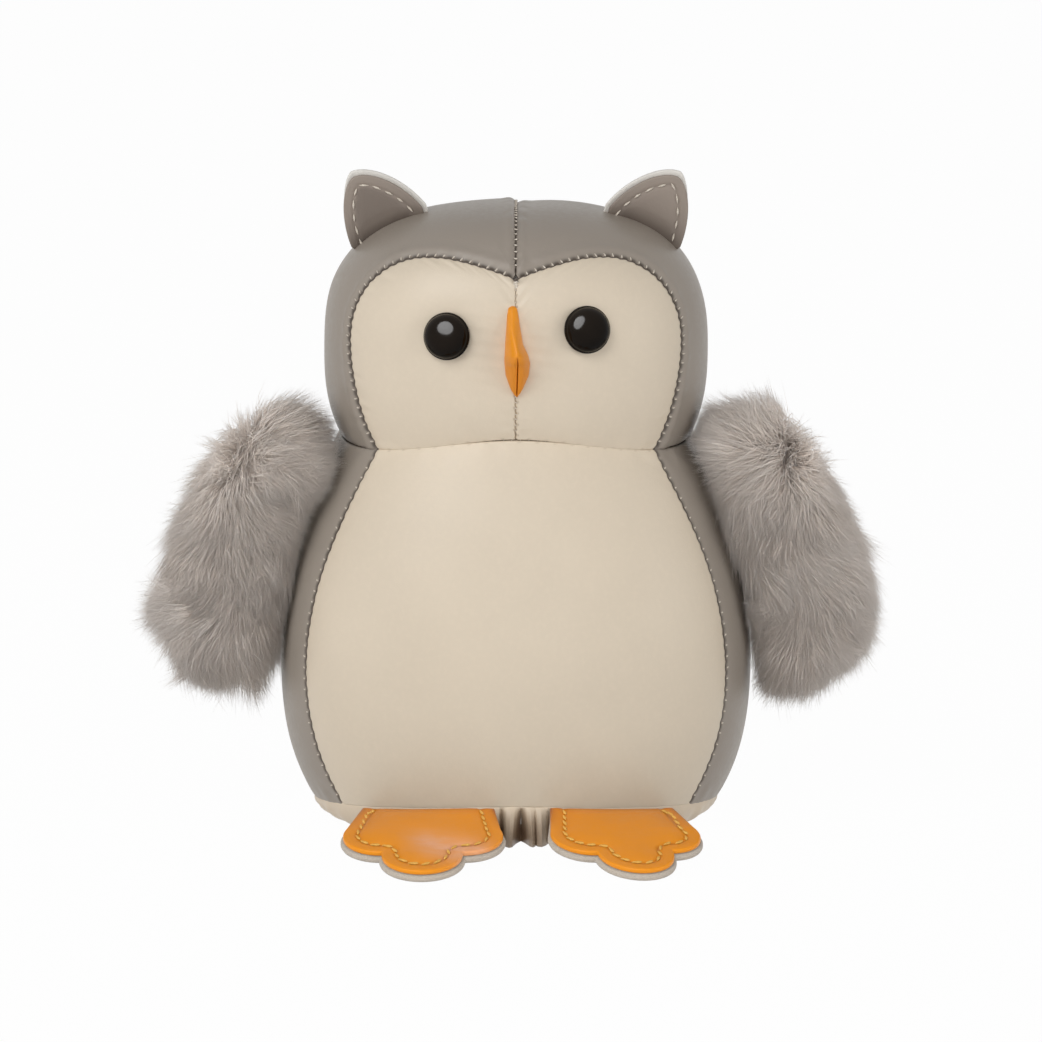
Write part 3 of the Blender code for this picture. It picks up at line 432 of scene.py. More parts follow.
def waveField(points, size, seed, count=10):
    # a soft random swell over the points, about -1 to 1
    lots = np.random.default_rng(seed)
    total = np.zeros(points.shape[:-1])
    for _ in range(count):
        way = unit(lots.normal(size=3)) * math.tau / (size * lots.uniform(0.7, 1.6))
        total += np.sin(points @ way + lots.uniform(0, math.tau))
    return total / math.sqrt(count / 2) / 1.6


def alongWave(run, size, seed, count=6):
    lots = np.random.default_rng(seed)
    total = np.zeros_like(run)
    for _ in range(count):
        total += np.sin(run * math.tau / (size * lots.uniform(0.6, 1.7)) + lots.uniform(0, math.tau))
    return total / math.sqrt(count / 2) / 1.6


def packed(count, close):
    # shares from 0 to 1, closer together at both ends
    at = np.linspace(0, 1, count + 1)
    return at - close * np.sin(math.tau * at) / math.tau


def surfaceNormals(points, centre):
    across = np.gradient(points, axis=0)
    along = np.gradient(points, axis=1)
    normals = unit(np.cross(across, along))
    outward = np.sign((normals * (points - centre)).sum(-1).mean())
    return normals * outward, unit(across), unit(along)


def runFrom(points, axis):
    steps = np.linalg.norm(np.diff(points, axis=axis), axis=-1)
    pad = [(0, 0), (0, 0)]
    pad[axis] = (1, 0)
    return np.pad(np.cumsum(steps, axis=axis), pad)


# How each kind of seam draws the leather in. The first four fields are shares: how full the leather
# stands beside it, how much each stitch deepens it, its painted shade and the painted shade of the needle's
# holes. The others are millimetres: radius of the turned edge, pitch of the stitches, how far they pull the
# edge aside, height and pitch of the ripples, and how far the painted shade reaches on the one and the other
# side.
shareFields = ("puff", "pull", "dark", "holes")
sizeFields = ("radius", "pitch", "shift", "ripple", "ripplePitch", "thin", "wide")
seamTable = dict(
    face=((1.0, 0.60, 0.95, 0), (0.42, 1.95, 0.13, 0.07, 4.0, 0.12, 0.55)),
    crown=((1.0, 0.45, 0.95, 0), (0.40, 1.75, 0.05, 0.08, 5.0, 0.30, 0.34)),
    belly=((1.0, 0.50, 0.85, 0), (0.42, 2.40, 0.10, 0.06, 6.0, 0.12, 0.42)),
    middle=((0.8, 0.60, 0.28, 0.8), (0.34, 1.25, 0.10, 0.07, 3.4, 0.10, 0.10)),
    neck=((0.0, 0.30, 0.45, 0.45), (0.14, 1.80, 0.03, 0.08, 5.0, 0.14, 0.14)),
    back=((1.0, 0.40, 0.80, 0), (0.45, 2.00, 0.04, 0.10, 6.0, 0.30, 0.30)),
    rim=((0.0, 0.30, 0.10, 0), (0.12, 2.20, 0.02, 0.08, 6.0, 0.12, 0.12)))
seams = {kind: dict(zip(shareFields, shares)) | dict(zip(sizeFields, np.array(sizes) / 1000))
         for kind, (shares, sizes) in seamTable.items()}
# how far from a seam its effects reach: ripples, fullness, edges pulled aside, its painted shade and the
# needle's holes
fade = dict(ripple=0.002, puff=0.005, level=0.004, slide=0.0009, shadeAway=0.35, holeAway=0.00040,
            holeSize=0.00016, holeShare=0.10)
# how full the leather stands between its seams, and its soft swells
cover = dict(full=0.2, swell=0.00008, swellSize=0.022)


def sewnSurface(points, centre, edges, puff, seed, creases=None):
    # Lays the leather over the pattern surface: full in the middle and drawn in at each seam, with painted
    # shade along each seam and at the needle's holes.
    normals, across, along = surfaceNormals(points, centre)
    columns, rows = runFrom(points, 0), runFrom(points, 1)
    borders = dict(
        left=(columns, rows[:1], across), right=(columns[-1:] - columns, rows[-1:], -across),
        low=(rows, columns[:, :1], along), high=(rows[:, -1:] - rows, columns[:, -1:], -along))
    shape = points.shape[:-1]
    out, paintedShade, drawn = np.zeros(shape), np.zeros(shape), np.zeros(shape)
    nearest, level = np.ones(shape), np.ones(shape)
    slide = np.zeros_like(points)
    for place, (kind, way) in edges.items():
        seam = seams[kind]
        away, run, inward = borders[place]
        away, run = np.broadcast_to(away, shape), np.broadcast_to(run, shape)
        steps = math.tau * run / seam["pitch"]
        beat = 0.5 + 0.5 * np.cos(steps)
        radius = seam["radius"] * (1 + seam["pull"] * beat)
        dip = radius - np.sqrt(np.maximum(radius**2 - np.maximum(radius - away, 0) ** 2, 0))
        swell = alongWave(run, seam["ripplePitch"], seed + len(place))
        out += -dip + seam["ripple"] * swell * np.exp(-((away - fade["ripple"]) / fade["ripple"]) ** 2)
        drawn = np.maximum(drawn, seam["puff"] * np.exp(-away / fade["puff"]))
        level = np.minimum(level, 1 - (1 - seam["puff"]) * np.exp(-away / fade["level"]))
        slide += inward * (way * seam["shift"] * np.cos(steps) * np.exp(-away / fade["slide"]))[..., None]
        # painted shade along the seam, in dashes between the stitches
        reach = seam["thin"] if way > 0 else seam["wide"]
        shade = np.exp(-((away - reach * fade["shadeAway"]) / reach) ** 2)
        paintedShade = np.maximum(paintedShade, seam["dark"] * (1 - beat**4) * shade)
        # the needle's holes, on either side in turn, painted dark as the shade inside them
        phase = (run / seam["pitch"] / 2 + 0.5 * (way > 0)) % 1 - 0.5
        beside = (away - fade["holeAway"]) / fade["holeSize"]
        holes = np.exp(-beside**2 - (phase / fade["holeShare"]) ** 2)
        paintedShade = np.maximum(paintedShade, seam["holes"] * holes)
        nearest = np.minimum(nearest, away)
    swells = cover["swell"] * waveField(points, cover["swellSize"], seed)
    out += level * (puff * (cover["full"] - drawn) + swells)
    if creases is not None:
        out += creases(points)
    return points + normals * out[..., None] + slide, normals, nearest * 1000, paintedShade


def pick(obj):
    bpy.ops.object.select_all(action="DESELECT")
    bpy.context.view_layer.objects.active = obj
    obj.select_set(True)


def editWhole(obj, *steps):
    # takes each step on the whole mesh, in edit mode
    pick(obj)
    bpy.ops.object.mode_set(mode="EDIT")
    bpy.ops.mesh.select_all(action="SELECT")
    for step in steps:
        step()
    bpy.ops.object.mode_set(mode="OBJECT")


def readPoints(mesh, name="co"):
    values = np.empty(len(mesh.vertices) * 3, np.float32)
    mesh.vertices.foreach_get(name, values)
    return values.reshape(-1, 3).astype(float)


def movePoints(mesh, spots):
    mesh.vertices.foreach_set("co", spots.astype(np.float32).ravel())
    mesh.update()


def meshPiece(name, points, faces):
    mesh = bpy.data.meshes.new(name)
    mesh.from_pydata(points.tolist(), [], faces)
    obj = bpy.data.objects.new(name, mesh)
    scene.collection.objects.link(obj)
    return obj


def signedVolume(mesh):
    mesh.calc_loop_triangles()
    corners = np.empty(len(mesh.loop_triangles) * 3, np.int32)
    mesh.loop_triangles.foreach_get("vertices", corners)
    spots = readPoints(mesh)
    a, b, c = (spots[corners.reshape(-1, 3)[:, i]] for i in range(3))
    return np.einsum("ij,ij->i", a - spots.mean(0), np.cross(b - spots.mean(0), c - spots.mean(0))).sum()


def pointOutward(obj):
    if signedVolume(obj.data) < 0:
        editWhole(obj, bpy.ops.mesh.flip_normals)


def weldPiece(obj, distance=0.000002):
    editWhole(obj, lambda: bpy.ops.mesh.remove_doubles(threshold=distance),
              lambda: bpy.ops.mesh.normals_make_consistent(inside=False))


def gridPiece(name, outer, inner=None):
    # A flat grid, given a wall, whose points are then moved onto the surface.
    columns, rows = outer.shape[0] - 1, outer.shape[1] - 1
    bpy.ops.object.select_all(action="DESELECT")
    bpy.ops.mesh.primitive_grid_add(x_subdivisions=columns, y_subdivisions=rows, size=1)
    obj = bpy.context.object
    obj.name = name
    obj.data.name = name
    flat = readPoints(obj.data)
    i = np.rint((flat[:, 0] + 0.5) * columns).astype(int)
    j = np.rint((flat[:, 1] + 0.5) * rows).astype(int)
    spots = outer[i, j]
    if inner is not None:
        wall = obj.modifiers.new("wall", "SOLIDIFY")
        wall.thickness = 0.01
        wall.offset = -1
        bpy.ops.object.modifier_apply(modifier=wall.name)
        spots = np.concatenate([spots, inner[i, j]])
    movePoints(obj.data, spots)
    return obj, (i, j)


def wrappedPiece(name, upper, lower):
    # One closed skin: rows run from the heart of the upper face over its edge to the heart of the lower.
    return gridPiece(name, np.concatenate([upper[:, ::-1], lower], axis=1))


def bothFaces(values):
    return np.concatenate([values[:, ::-1], values], axis=1)


def storeValues(obj, name, values):
    layer = obj.data.attributes.new(name, "FLOAT", "POINT")
    layer.data.foreach_set("value", np.asarray(values, np.float32).ravel())


farFromSeams = 5.0


def closePiece(obj, paintedShade, *finish, **more):
    # closes a skin whose points carry this much painted shade and lie far from any seam, and finishes it
    storeValues(obj, "seam", np.full(len(paintedShade), farFromSeams))
    storeValues(obj, "paintedShade", paintedShade)
    weldPiece(obj)
    pointOutward(obj)
    return finishPiece(obj, *finish, **more)


def finishPiece(obj, material, bodyName, slot, *nodes, sharp=60):
    obj.data.materials.clear()
    obj.data.materials.append(material)
    pick(obj)
    bpy.ops.object.shade_smooth_by_angle(angle=math.radians(sharp))
    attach(obj, bodyName)
    if nodes:
        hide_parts(*nodes)
    return obj


def leatherPanel(name, points, centre, edges, material, slot, seed, creases=None, puff=0.0007, wall=0.0009):
    outer, normals, nearest, paintedShade = sewnSurface(points, centre, edges, puff, seed, creases)
    obj, (i, j) = gridPiece(name + "_sewn", outer, outer - normals * wall)
    storeValues(obj, "seam", np.tile(nearest[i, j], 2))
    storeValues(obj, "paintedShade", np.tile(paintedShade[i, j], 2))
    pointOutward(obj)
    finishPiece(obj, material, "torso", slot, name)
    print("sewn", name, len(obj.data.polygons), "faces")
    return normals


bodyCentre = np.array((0, 0, 0.04))
stitchLines = {}
panelGrid = dict(belly=(130, 190), side=(120, 170), face=(60, 210), crown=(100, 200))


def buildBelly():
    columns, rows = panelGrid["belly"]
    column, row = np.meshgrid(packed(columns, 0.6), packed(rows, 0.5), indexing="ij")
    points = coverPoint(lambda height: (2 * column - 1) * bellyAngle(height), row)
    edges = dict(left=("belly", 1), right=("belly", 1), low=("rim", 1), high=("neck", 1))
    normals = leatherPanel("belly_panel", points, bodyCentre, edges, cream, creamSlot, 11)
    stitchLines["bellyLeft"] = (points[0], normals[0])
    stitchLines["bellyRight"] = (points[-1], normals[-1])
    stitchLines["neckFront"] = (points[:, -1], normals[:, -1])
    stitchLines["rimFront"] = (points[:, 0], normals[:, 0])


def buildSide(side, sign):
    columns, rows = panelGrid["side"]
    column, row = np.meshgrid(packed(columns, 0.7), packed(rows, 0.5), indexing="ij")

    def angleAt(height):
        start = bellyAngle(height)
        return sign * (start + (math.pi - start) * column)

    points = coverPoint(angleAt, row)
    edges = dict(left=("belly", -1), right=("back", 1), low=("rim", 1), high=("neck", 1))
    normals = leatherPanel("side_panel_" + side, points, bodyCentre, edges, taupe, taupeSlot,
                           21 + sign)
    stitchLines["bodyBack"] = (points[-1], normals[-1])
    stitchLines["neck" + side] = (points[:, -1], normals[:, -1])
    stitchLines["rim" + side] = (points[:, 0], normals[:, 0])


# The face has faint folds that run out from the beak, and a dimple that each eye pulls in. The crown
# has a padded lip above the face seam and beside the crown seam, and its left half laps up at the top.
folds = dict(spot=(0.006, 0.106), reach=(0.005, 0.009), height=0.00007, pitch=0.0027, lean=300)
dimple = dict(depth=0.0005, away=0.0035, reach=0.0032)
lipShape = dict(away=0.0022, height=0.00028, ridgeAway=0.0020, ridge=0.00022, reach=0.0014)
lap = dict(start=0.1265, rise=0.004, height=0.0010, reach=0.0060, edge=0.0007)


def buildFace(side, sign):
    columns, rows = panelGrid["face"]
    column, row = np.meshgrid(packed(columns, 0.6), np.linspace(0, 1, rows + 1), indexing="ij")
    edge = faceEdge(sign)
    middle = middleLine(edge(np.array(0.0)), neckPoint(np.array(0.0)))
    corner = bellyAngle(np.array(body["neck"]))
    points = headPatch(edge, middle, lambda share: neckPoint(sign * corner * (1 - share)), column, row)
    edges = dict(left=("face", 1), right=("middle", sign), high=("neck", 1))

    def creases(spots):
        (x, z), (wide, high) = folds["spot"], folds["reach"]
        near = np.exp(-((np.abs(spots[..., 0]) - x) / wide) ** 2 - ((spots[..., 2] - z) / high) ** 2)
        waves = np.sin(spots[..., 2] * math.tau / folds["pitch"] + spots[..., 0] * folds["lean"])
        eye = np.linalg.norm(spots - np.array(eyeSpot(sign)), axis=-1)
        pulled = np.exp(-((eye - dimple["away"]) / dimple["reach"]) ** 2)
        return folds["height"] * waves * near - dimple["depth"] * pulled

    normals = leatherPanel("face_panel_" + side, points, headMiddle, edges, cream, creamSlot,
                           31 + sign, creases)
    stitchLines["face" + side] = (points[0], normals[0])
    stitchLines["faceMiddle"] = (points[-1], normals[-1])


def buildCrown(side, sign):
    columns, rows = panelGrid["crown"]
    column, row = np.meshgrid(packed(columns, 0.7), np.linspace(0, 1, rows + 1), indexing="ij")
    edge = faceEdge(sign)
    middle = middleLine(edge(np.array(0.0)), neckPoint(np.array(math.pi)))
    corner = bellyAngle(np.array(body["neck"]))
    neck = lambda share: neckPoint(sign * (corner + (math.pi - corner) * share))
    points = headPatch(edge, middle, neck, column, row)
    edges = dict(left=("face", -1), right=("crown", sign), high=("neck", 1))

    def lips(spots):
        beside = runFrom(spots, 0)
        off = beside[-1:] - beside
        lip = np.exp(-((beside - lipShape["away"]) / lipShape["reach"]) ** 2)
        ridge = np.exp(-((off - lipShape["ridgeAway"]) / lipShape["reach"]) ** 2)
        top = np.clip((spots[..., 2] - lap["start"]) / lap["rise"], 0, 1) * (sign < 0)
        over = lap["height"] * top * np.exp(-off / lap["reach"]) * (1 - np.exp(-off / lap["edge"]))
        return lipShape["height"] * lip + lipShape["ridge"] * ridge + over

    normals = leatherPanel("head_panel_" + side, points, headMiddle, edges, taupe, taupeSlot,
                           41 + sign, lips)
    stitchLines["crown"] = (points[-1], normals[-1])


eyes = dict(spread=(0.0144, 0.0149), height=(0.10755, 0.1089), radius=0.0050, dome=0.0031, domeRadius=0.00468,
            rim=0.0006, stem=0.0016, stemLength=0.0090, turn=5.0, tip=2.5, sink=0.0002, seat=0.0001,
            bevel=0.00015, steps=72)


def ofSide(pair, sign):
    # the first of a pair for -1, the left or the front, and the second for 1
    return pair[sign > 0]


def eyeSpot(sign):
    return headFront(np.array(sign * ofSide(eyes["spread"], sign)), np.array(ofSide(eyes["height"], sign)))


def eyeFrame(sign):
    spot = Vector(eyeSpot(sign))
    step = 0.0003
    at = lambda x, z: Vector(headFront(np.array(x), np.array(z)))
    along = at(spot.x + step, spot.z) - at(spot.x - step, spot.z)
    up = at(spot.x, spot.z + step) - at(spot.x, spot.z - step)
    normal = along.cross(up).normalized()
    # each eye looks a little outward and up, as the soft face lets it
    way = Matrix.Rotation(math.radians(eyes["turn"]) * sign, 4, "Z")
    way = way @ Matrix.Rotation(-math.radians(eyes["tip"]), 4, "X")
    facing = normal.to_track_quat("Z", "Y").to_matrix().to_4x4()
    return Matrix.Translation(spot - normal * eyes["sink"]) @ way @ facing


sides = (("left", -1), ("right", 1))
buildBelly()
for side, sign in sides:
    buildSide(side, sign)
    buildFace(side, sign)
    buildCrown(side, sign)


# eyes

def turnedPiece(name, profile, steps):
    # A disc drawn up from its first ring through each radius and height of the profile.
    bpy.ops.object.select_all(action="DESELECT")
    radius, height = profile[0]
    bpy.ops.mesh.primitive_circle_add(vertices=steps, radius=radius, fill_type="NGON",
                                      location=(0, 0, height))
    obj = bpy.context.object
    obj.name = name
    bpy.ops.object.transform_apply(location=True, rotation=False, scale=False)
    bpy.ops.object.mode_set(mode="EDIT")
    for nextRadius, nextHeight in profile[1:]:
        bpy.ops.mesh.extrude_region_move(TRANSFORM_OT_translate={"value": (0, 0, nextHeight - height)})
        scale = nextRadius / radius
        bpy.ops.transform.resize(value=(scale, scale, 1), center_override=(0, 0, nextHeight))
        radius, height = nextRadius, nextHeight
    bpy.ops.mesh.select_all(action="SELECT")
    bpy.ops.mesh.normals_make_consistent(inside=False)
    bpy.ops.object.mode_set(mode="OBJECT")
    return obj


def eyeFinish():
    material, tree, shader = newFinish("blackEye", 0.10, 0.07)
    tone = blendColour(tree, noiseNode(tree, 300, 2), (0.0012, 0.0008, 0.0005), (0.0022, 0.0015, 0.0010))
    tree.links.new(tone, shader.inputs["Base Color"])
    tree.links.new(spread(tree, noiseNode(tree, 1800, 2), 0.09, 0.15), shader.inputs["Roughness"])
    return material


blackEye = eyeFinish()


def buildEye(side, sign):
    radius, seat, bevel = eyes["radius"], eyes["seat"], eyes["bevel"]
    face = seat + eyes["rim"]
    profile = [(eyes["stem"], -eyes["stemLength"]), (eyes["stem"], seat), (radius - 0.0001, seat),
               (radius, seat + bevel), (radius, face - 0.0002), (radius - bevel, face)]
    for step in range(13):
        turn = math.radians(4 + 85.5 * step / 12)
        full = squared(turn, 2.2)
        rise = eyes["dome"] * full * math.sin(turn)
        profile.append((eyes["domeRadius"] * full * math.cos(turn), face + rise))
    obj = turnedPiece(f"eye_{side}_polished", profile, eyes["steps"])
    obj.data.transform(eyeFrame(sign))
    return finishPiece(obj, blackEye, "torso", "eye_black", "eye_" + side, sharp=35)


# the catch lamp gives the polished eyes their round glint and lights nothing else
polished = bpy.data.collections.new("polished")
for side, sign in sides:
    polished.objects.link(buildEye(side, sign))
bpy.data.objects["catchLamp"].light_linking.receiver_collection = polished
print("eyes are set")


# beak

beak = dict(top=0.1140, bottom=0.0947, columns=72, rows=120, over=0.75, rimOut=0.0005, blunt=0.03,
            lobeStart=0.50, lobeGrows=0.10, lobeEnds=0.05, slit=0.0006, slitWidth=0.105, slitShade=0.92,
            lobeShade=0.20, swell=0.0005, swellAway=1.1, swellWidth=0.8, sunk=0.0005,
            # shares of the way down, and millimetres: edges, how far it stands out, and its middle ridge
            left=[(0, -1.45), (0.10, -1.80), (0.35, -2.15), (0.60, -2.40), (0.75, -2.15), (0.90, -1.10),
                  (1, 0.05)],
            right=[(0, 0.15), (0.10, 0.55), (0.25, 0.95), (0.42, 1.55), (0.53, 2.60), (0.62, 3.00),
                   (0.75, 2.75), (0.90, 1.50), (1, 0.30)],
            reach=[(0, 0.8), (0.12, 2.0), (0.30, 4.1), (0.46, 6.1), (0.515, 6.5), (0.555, 5.8), (0.64, 4.2),
                   (0.80, 2.6), (0.93, 1.4), (1, 0.7)],
            ridge=[(0, -0.6), (0.25, -0.70), (0.46, 0.25), (0.6, 0.45), (1, 0.2)])


def throughPoints(table, at, smooth=0.022):
    # a smooth line through a table of shares and millimetres
    x, y = np.array(table).T
    fine = np.linspace(0, 1, 401)
    line = np.interp(fine, x, y)
    reach = int(smooth * 400)
    pad = np.concatenate([2 * line[0] - line[reach:0:-1], line, 2 * line[-1] - line[-2:-reach - 2:-1]])
    window = np.hanning(2 * reach + 3)[1:-1]
    line = np.convolve(pad, window / window.sum(), "valid")
    return np.interp(at, fine, line) / 1000


def buildBeak():
    around = np.linspace(0, 1, beak["columns"] + 1)[:, None]
    row = np.linspace(0, 1, beak["rows"] + 1)[None, :]
    # the columns go over the front first, and then back behind it
    ahead = around <= beak["over"]
    front = np.clip(around / beak["over"], 0, 1)
    behind = np.clip((around - beak["over"]) / (1 - beak["over"]), 0, 1)
    across = np.where(ahead, -np.cos(math.pi * front), 1 - 2 * behind)
    left, right = throughPoints(beak["left"], row), throughPoints(beak["right"], row)
    ridge, reach = throughPoints(beak["ridge"], row), throughPoints(beak["reach"], row)
    closing = np.sqrt(np.clip(np.minimum(row, 1 - row) / beak["blunt"], 0, 1))
    x = np.where(across < 0, ridge + (ridge - left) * across, ridge + (right - ridge) * across)
    middle = (left + right) / 2
    x = middle + (x - middle) * closing
    lobe = np.clip((row - beak["lobeStart"]) / beak["lobeGrows"], 0, 1)
    lobe = lobe * np.clip((1 - row) / beak["lobeEnds"], 0, 1)
    arch = (1 - (across**2 + 0.010) ** (0.86 + 0.20 * lobe)).clip(0) ** (0.80 - 0.10 * lobe)
    slitAway = np.abs(x - ridge) * 1000
    slit = lobe * np.exp(-(slitAway / beak["slitWidth"]) ** 2)
    swell = lobe * np.exp(-((slitAway - beak["swellAway"]) / beak["swellWidth"]) ** 2)
    out = (beak["rimOut"] + (reach - beak["rimOut"]) * arch) * closing
    out = out + beak["swell"] * swell - beak["slit"] * slit
    height = beak["top"] + (beak["bottom"] - beak["top"]) * row + 0 * x
    seat = headFront(x, height)[..., 1] + beak["sunk"]
    points = np.stack([x, seat - np.where(ahead, np.maximum(out, 0), 0), height], -1)
    points[-1] = points[0]
    obj, (i, j) = gridPiece("beak_folded", points)
    # painted shade in the slit and over the lower lobes
    paintedShade = (np.maximum(beak["slitShade"] * slit, beak["lobeShade"] * lobe) + 0 * x)[i, j]
    closePiece(obj, paintedShade, beakOrange, "torso", orangeSlot, "beak", sharp=50)


buildBeak()
print("beak is folded")


# base with its gathers

base = dict(roll=0.0014, sideRoll=0.0078, columns=700, rows=34, wall=0.0009, recess=1.15,
            recessSpread=1.3, deepen=1.7, foldEnd=12, rippleStart=10, ripple=0.30, ripplePitch=0.0055,
            tuckIn=0.0004, tuckUp=0.0006, inner=0.975, underRim=0.00005, recessReach=1.6, angleRun=0.045,
            # the painted shade of the gathers: middle and half width in millimetres, and depths
            shadeMiddle=1.5, shadeHalf=5.5, shade=0.85, darkest=0.97, recessShade=0.84,
            # how far each gather stands out, in millimetres, by its place across the front
            folds=[(-12, 0), (-9, 0.2), (-6.5, 0.4), (-4.6, 0.3), (-3.5, -0.1), (-3.0, -1.5), (-2.6, -0.2),
                   (-2.0, 1.4), (-1.1, 2.0), (-0.3, 1.6), (0.45, -0.4), (1.15, -2.6), (1.8, -0.4), (2.3, 1.0),
                   (3.1, 1.8), (3.8, 1.2), (4.05, 0.45), (4.3, 1.2), (5.2, 1.6), (6.2, 0.7), (7.2, -0.9),
                   (8.2, 0.3), (10, -0.1), (12, 0)])


def buildBase():
    columns, rows = base["columns"], base["rows"]
    # closer together across the front
    share = np.linspace(-1, 1, columns + 1)
    angle = (math.pi * (0.22 * share + 0.78 * share**3))[:, None]
    turn = (math.pi / 2 * np.linspace(0, 1, rows + 1))[None, :]
    rim = rimHeight(angle) - base["underRim"]
    roll = base["sideRoll"] + (base["roll"] - base["sideRoll"]) * np.maximum(np.cos(angle), 0) ** 3
    halves = [half - roll * (1 - np.cos(turn)) for half in bodyHalves(rim)]
    points = planPoint(angle + 0 * turn, halves, rim * (1 - np.sin(turn)))
    x, y = np.array(base["folds"]).T * np.array(((1,), (base["deepen"],)))
    place = np.sin(angle) * 1000 * halves[0]
    # the deep recess widens toward the floor
    beside = place - base["recess"]
    wider = base["recessSpread"] * np.sin(turn) ** 2 * np.exp(-((beside / base["recessReach"]) ** 2))
    place = base["recess"] + beside / (1 + wider)
    ahead = np.cos(angle) > 0
    front = np.where((np.abs(place) < base["foldEnd"]) & ahead, np.interp(place, x, y), 0)
    ripple = base["ripple"] * alongWave(angle * base["angleRun"] + 0 * turn, base["ripplePitch"], 5, 9)
    elsewhere = ripple * (~ahead | (np.abs(place) > base["rippleStart"]))
    depth = np.sin(np.clip(turn * 1.6, 0, math.pi / 2)) ** 0.7 * np.cos(turn * 0.97) ** 0.12
    fold = (front + elsewhere) * depth / 1000
    points[..., 0] += np.sin(angle) * fold
    points[..., 1] -= np.cos(angle) * fold
    flat = points[:, -1:] * np.array((0.5, 0.5, 0))
    # the rim is tucked up inside the body's lower edge
    high = rim + base["tuckUp"]
    tucked = planPoint(angle, [half - base["tuckIn"] for half in bodyHalves(high)], high)
    outer = np.concatenate([tucked, points, flat, flat * 0], axis=1)
    inner = outer * np.array((base["inner"], base["inner"], 1))
    inner[..., 2] += base["wall"] * np.concatenate([(0,), np.sin(turn[0]) ** 2, (1, 1)])
    obj, (i, j) = wrappedPiece("base_panel_gathered", outer, inner)
    # painted shade over the gathers between the feet, deepest in the recess
    middle = np.exp(-((place - base["shadeMiddle"]) / base["shadeHalf"]) ** 4) * ahead
    dark = np.clip(base["shade"] * middle - np.minimum(front, 0.2) / 1.3, 0, base["darkest"])
    recess = np.exp(-((beside / (0.40 + 0.85 * np.sin(turn) ** 2)) ** 4)) * ahead
    dark = np.maximum(dark, base["recessShade"] * recess) * depth
    dark = np.concatenate([dark[:, :1], dark, np.zeros((columns + 1, 2))], axis=1)
    paintedShade = bothFaces(dark)[i, j]
    closePiece(obj, paintedShade, baseCream, "torso", creamSlot, "base_panel", sharp=70)


buildBase()
print("base is gathered")


# stitches

def stitchShape():
    # One stitch of two-ply thread: an oval cord, thin at both ends, with half a turn of twist.
    bpy.ops.mesh.primitive_uv_sphere_add(segments=8, ring_count=7, radius=1)
    obj = bpy.context.object
    spots = readPoints(obj.data)
    # the ball's axis is the stitch, drawn out and twisted
    level = spots[:, 2].copy()
    fat = (1 - np.abs(level) ** 3) / np.maximum(np.sqrt(np.maximum(1 - level**2, 0)), 1e-6)
    fat = np.where(np.abs(level) > 0.999, 0, fat)
    x, y = spots[:, 0] * fat, spots[:, 1] * fat * 0.72
    twist = level * math.pi * 0.7
    turned = x * np.cos(twist) - y * np.sin(twist), x * np.sin(twist) + y * np.cos(twist)
    faces = [tuple(face.vertices) for face in obj.data.polygons]
    bpy.data.objects.remove(obj)
    return np.stack([level, *turned], -1), faces


stitchSpots, stitchFaces = stitchShape()


def stitchRow(name, places, radius, material, slot, bodyName):
    # places: middle, way along and way out for each stitch, with its half length
    spots, faces = [], []
    for middle, along, out, half in places:
        along = unit(along)
        aside = unit(np.cross(out, along))
        out = np.cross(along, aside)
        local = stitchSpots * np.array((half, radius, radius))
        faces += [tuple(v + len(spots) * len(stitchSpots) for v in face) for face in stitchFaces]
        spots.append(middle + local[:, :1] * along + local[:, 1:2] * aside + local[:, 2:] * out)
    obj = meshPiece(name, np.concatenate(spots), faces)
    pointOutward(obj)
    finishPiece(obj, material, bodyName, slot)


def alongLine(line, pitch, start=0.0):
    # points, ways and normals at even steps along a line of points
    spots, normals = line
    run = runAlong(spots)
    at = np.arange(start, run[-1], pitch)
    read = lambda table: np.stack([np.interp(at, run, table[:, k]) for k in range(3)], -1)
    ways = np.stack([np.interp(at, run, np.gradient(spots[:, k], run)) for k in range(3)], -1)
    return read(spots), unit(ways), unit(read(normals))


def toPlace(matrix, points):
    turn = np.array(matrix)
    return points @ turn[:3, :3].T + turn[:3, 3]


def stitchPath(matrix, path, height, pitch):
    # the stitches of a row on a flat sheet: middles, ways along and ways out
    spots = toPlace(matrix, np.column_stack([path, height]))
    normals = np.tile(np.array(matrix)[:3, 2], (len(spots), 1))
    return zip(*alongLine((spots, normals), pitch, pitch / 2))


# seam threads: line, kind of seam, half length, radius, depth and way across the seam in millimetres,
# slant in degrees, thread and slot
threads = dict(
    crown=("crown", "crown", 0.36, 0.21, 0.10, 0, 84, creamThread, taupeSlot),
    faceLeft=("faceleft", "face", 0.48, 0.17, 0.10, -0.22, 78, creamThread, taupeSlot),
    faceRight=("faceright", "face", 0.48, 0.17, 0.10, 0.22, -78, creamThread, taupeSlot),
    faceMiddle=("faceMiddle", "middle", 0.34, 0.13, 0.12, 0, 55, creamThread, creamSlot),
    bellyLeft=("bellyLeft", "belly", 0.36, 0.17, 0.12, 0, 80, creamThread, creamSlot),
    bellyRight=("bellyRight", "belly", 0.36, 0.17, 0.12, 0, -80, creamThread, creamSlot),
    neckFront=("neckFront", "neck", 0.40, 0.12, 0.30, 0, 60, creamThread, creamSlot),
    neckLeft=("neckleft", "neck", 0.40, 0.12, 0.35, 0, 60, darkThread, taupeSlot),
    neckRight=("neckright", "neck", 0.40, 0.12, 0.35, 0, 60, darkThread, taupeSlot),
    bodyBack=("bodyBack", "back", 0.34, 0.14, 0.18, 0, 80, darkThread, taupeSlot))


# how much the stitches differ: in turn, depth, place along the seam and length
jitter = dict(turn=12, depth=(0.7, 1.2), along=0.0001, half=(0.85, 1.15))


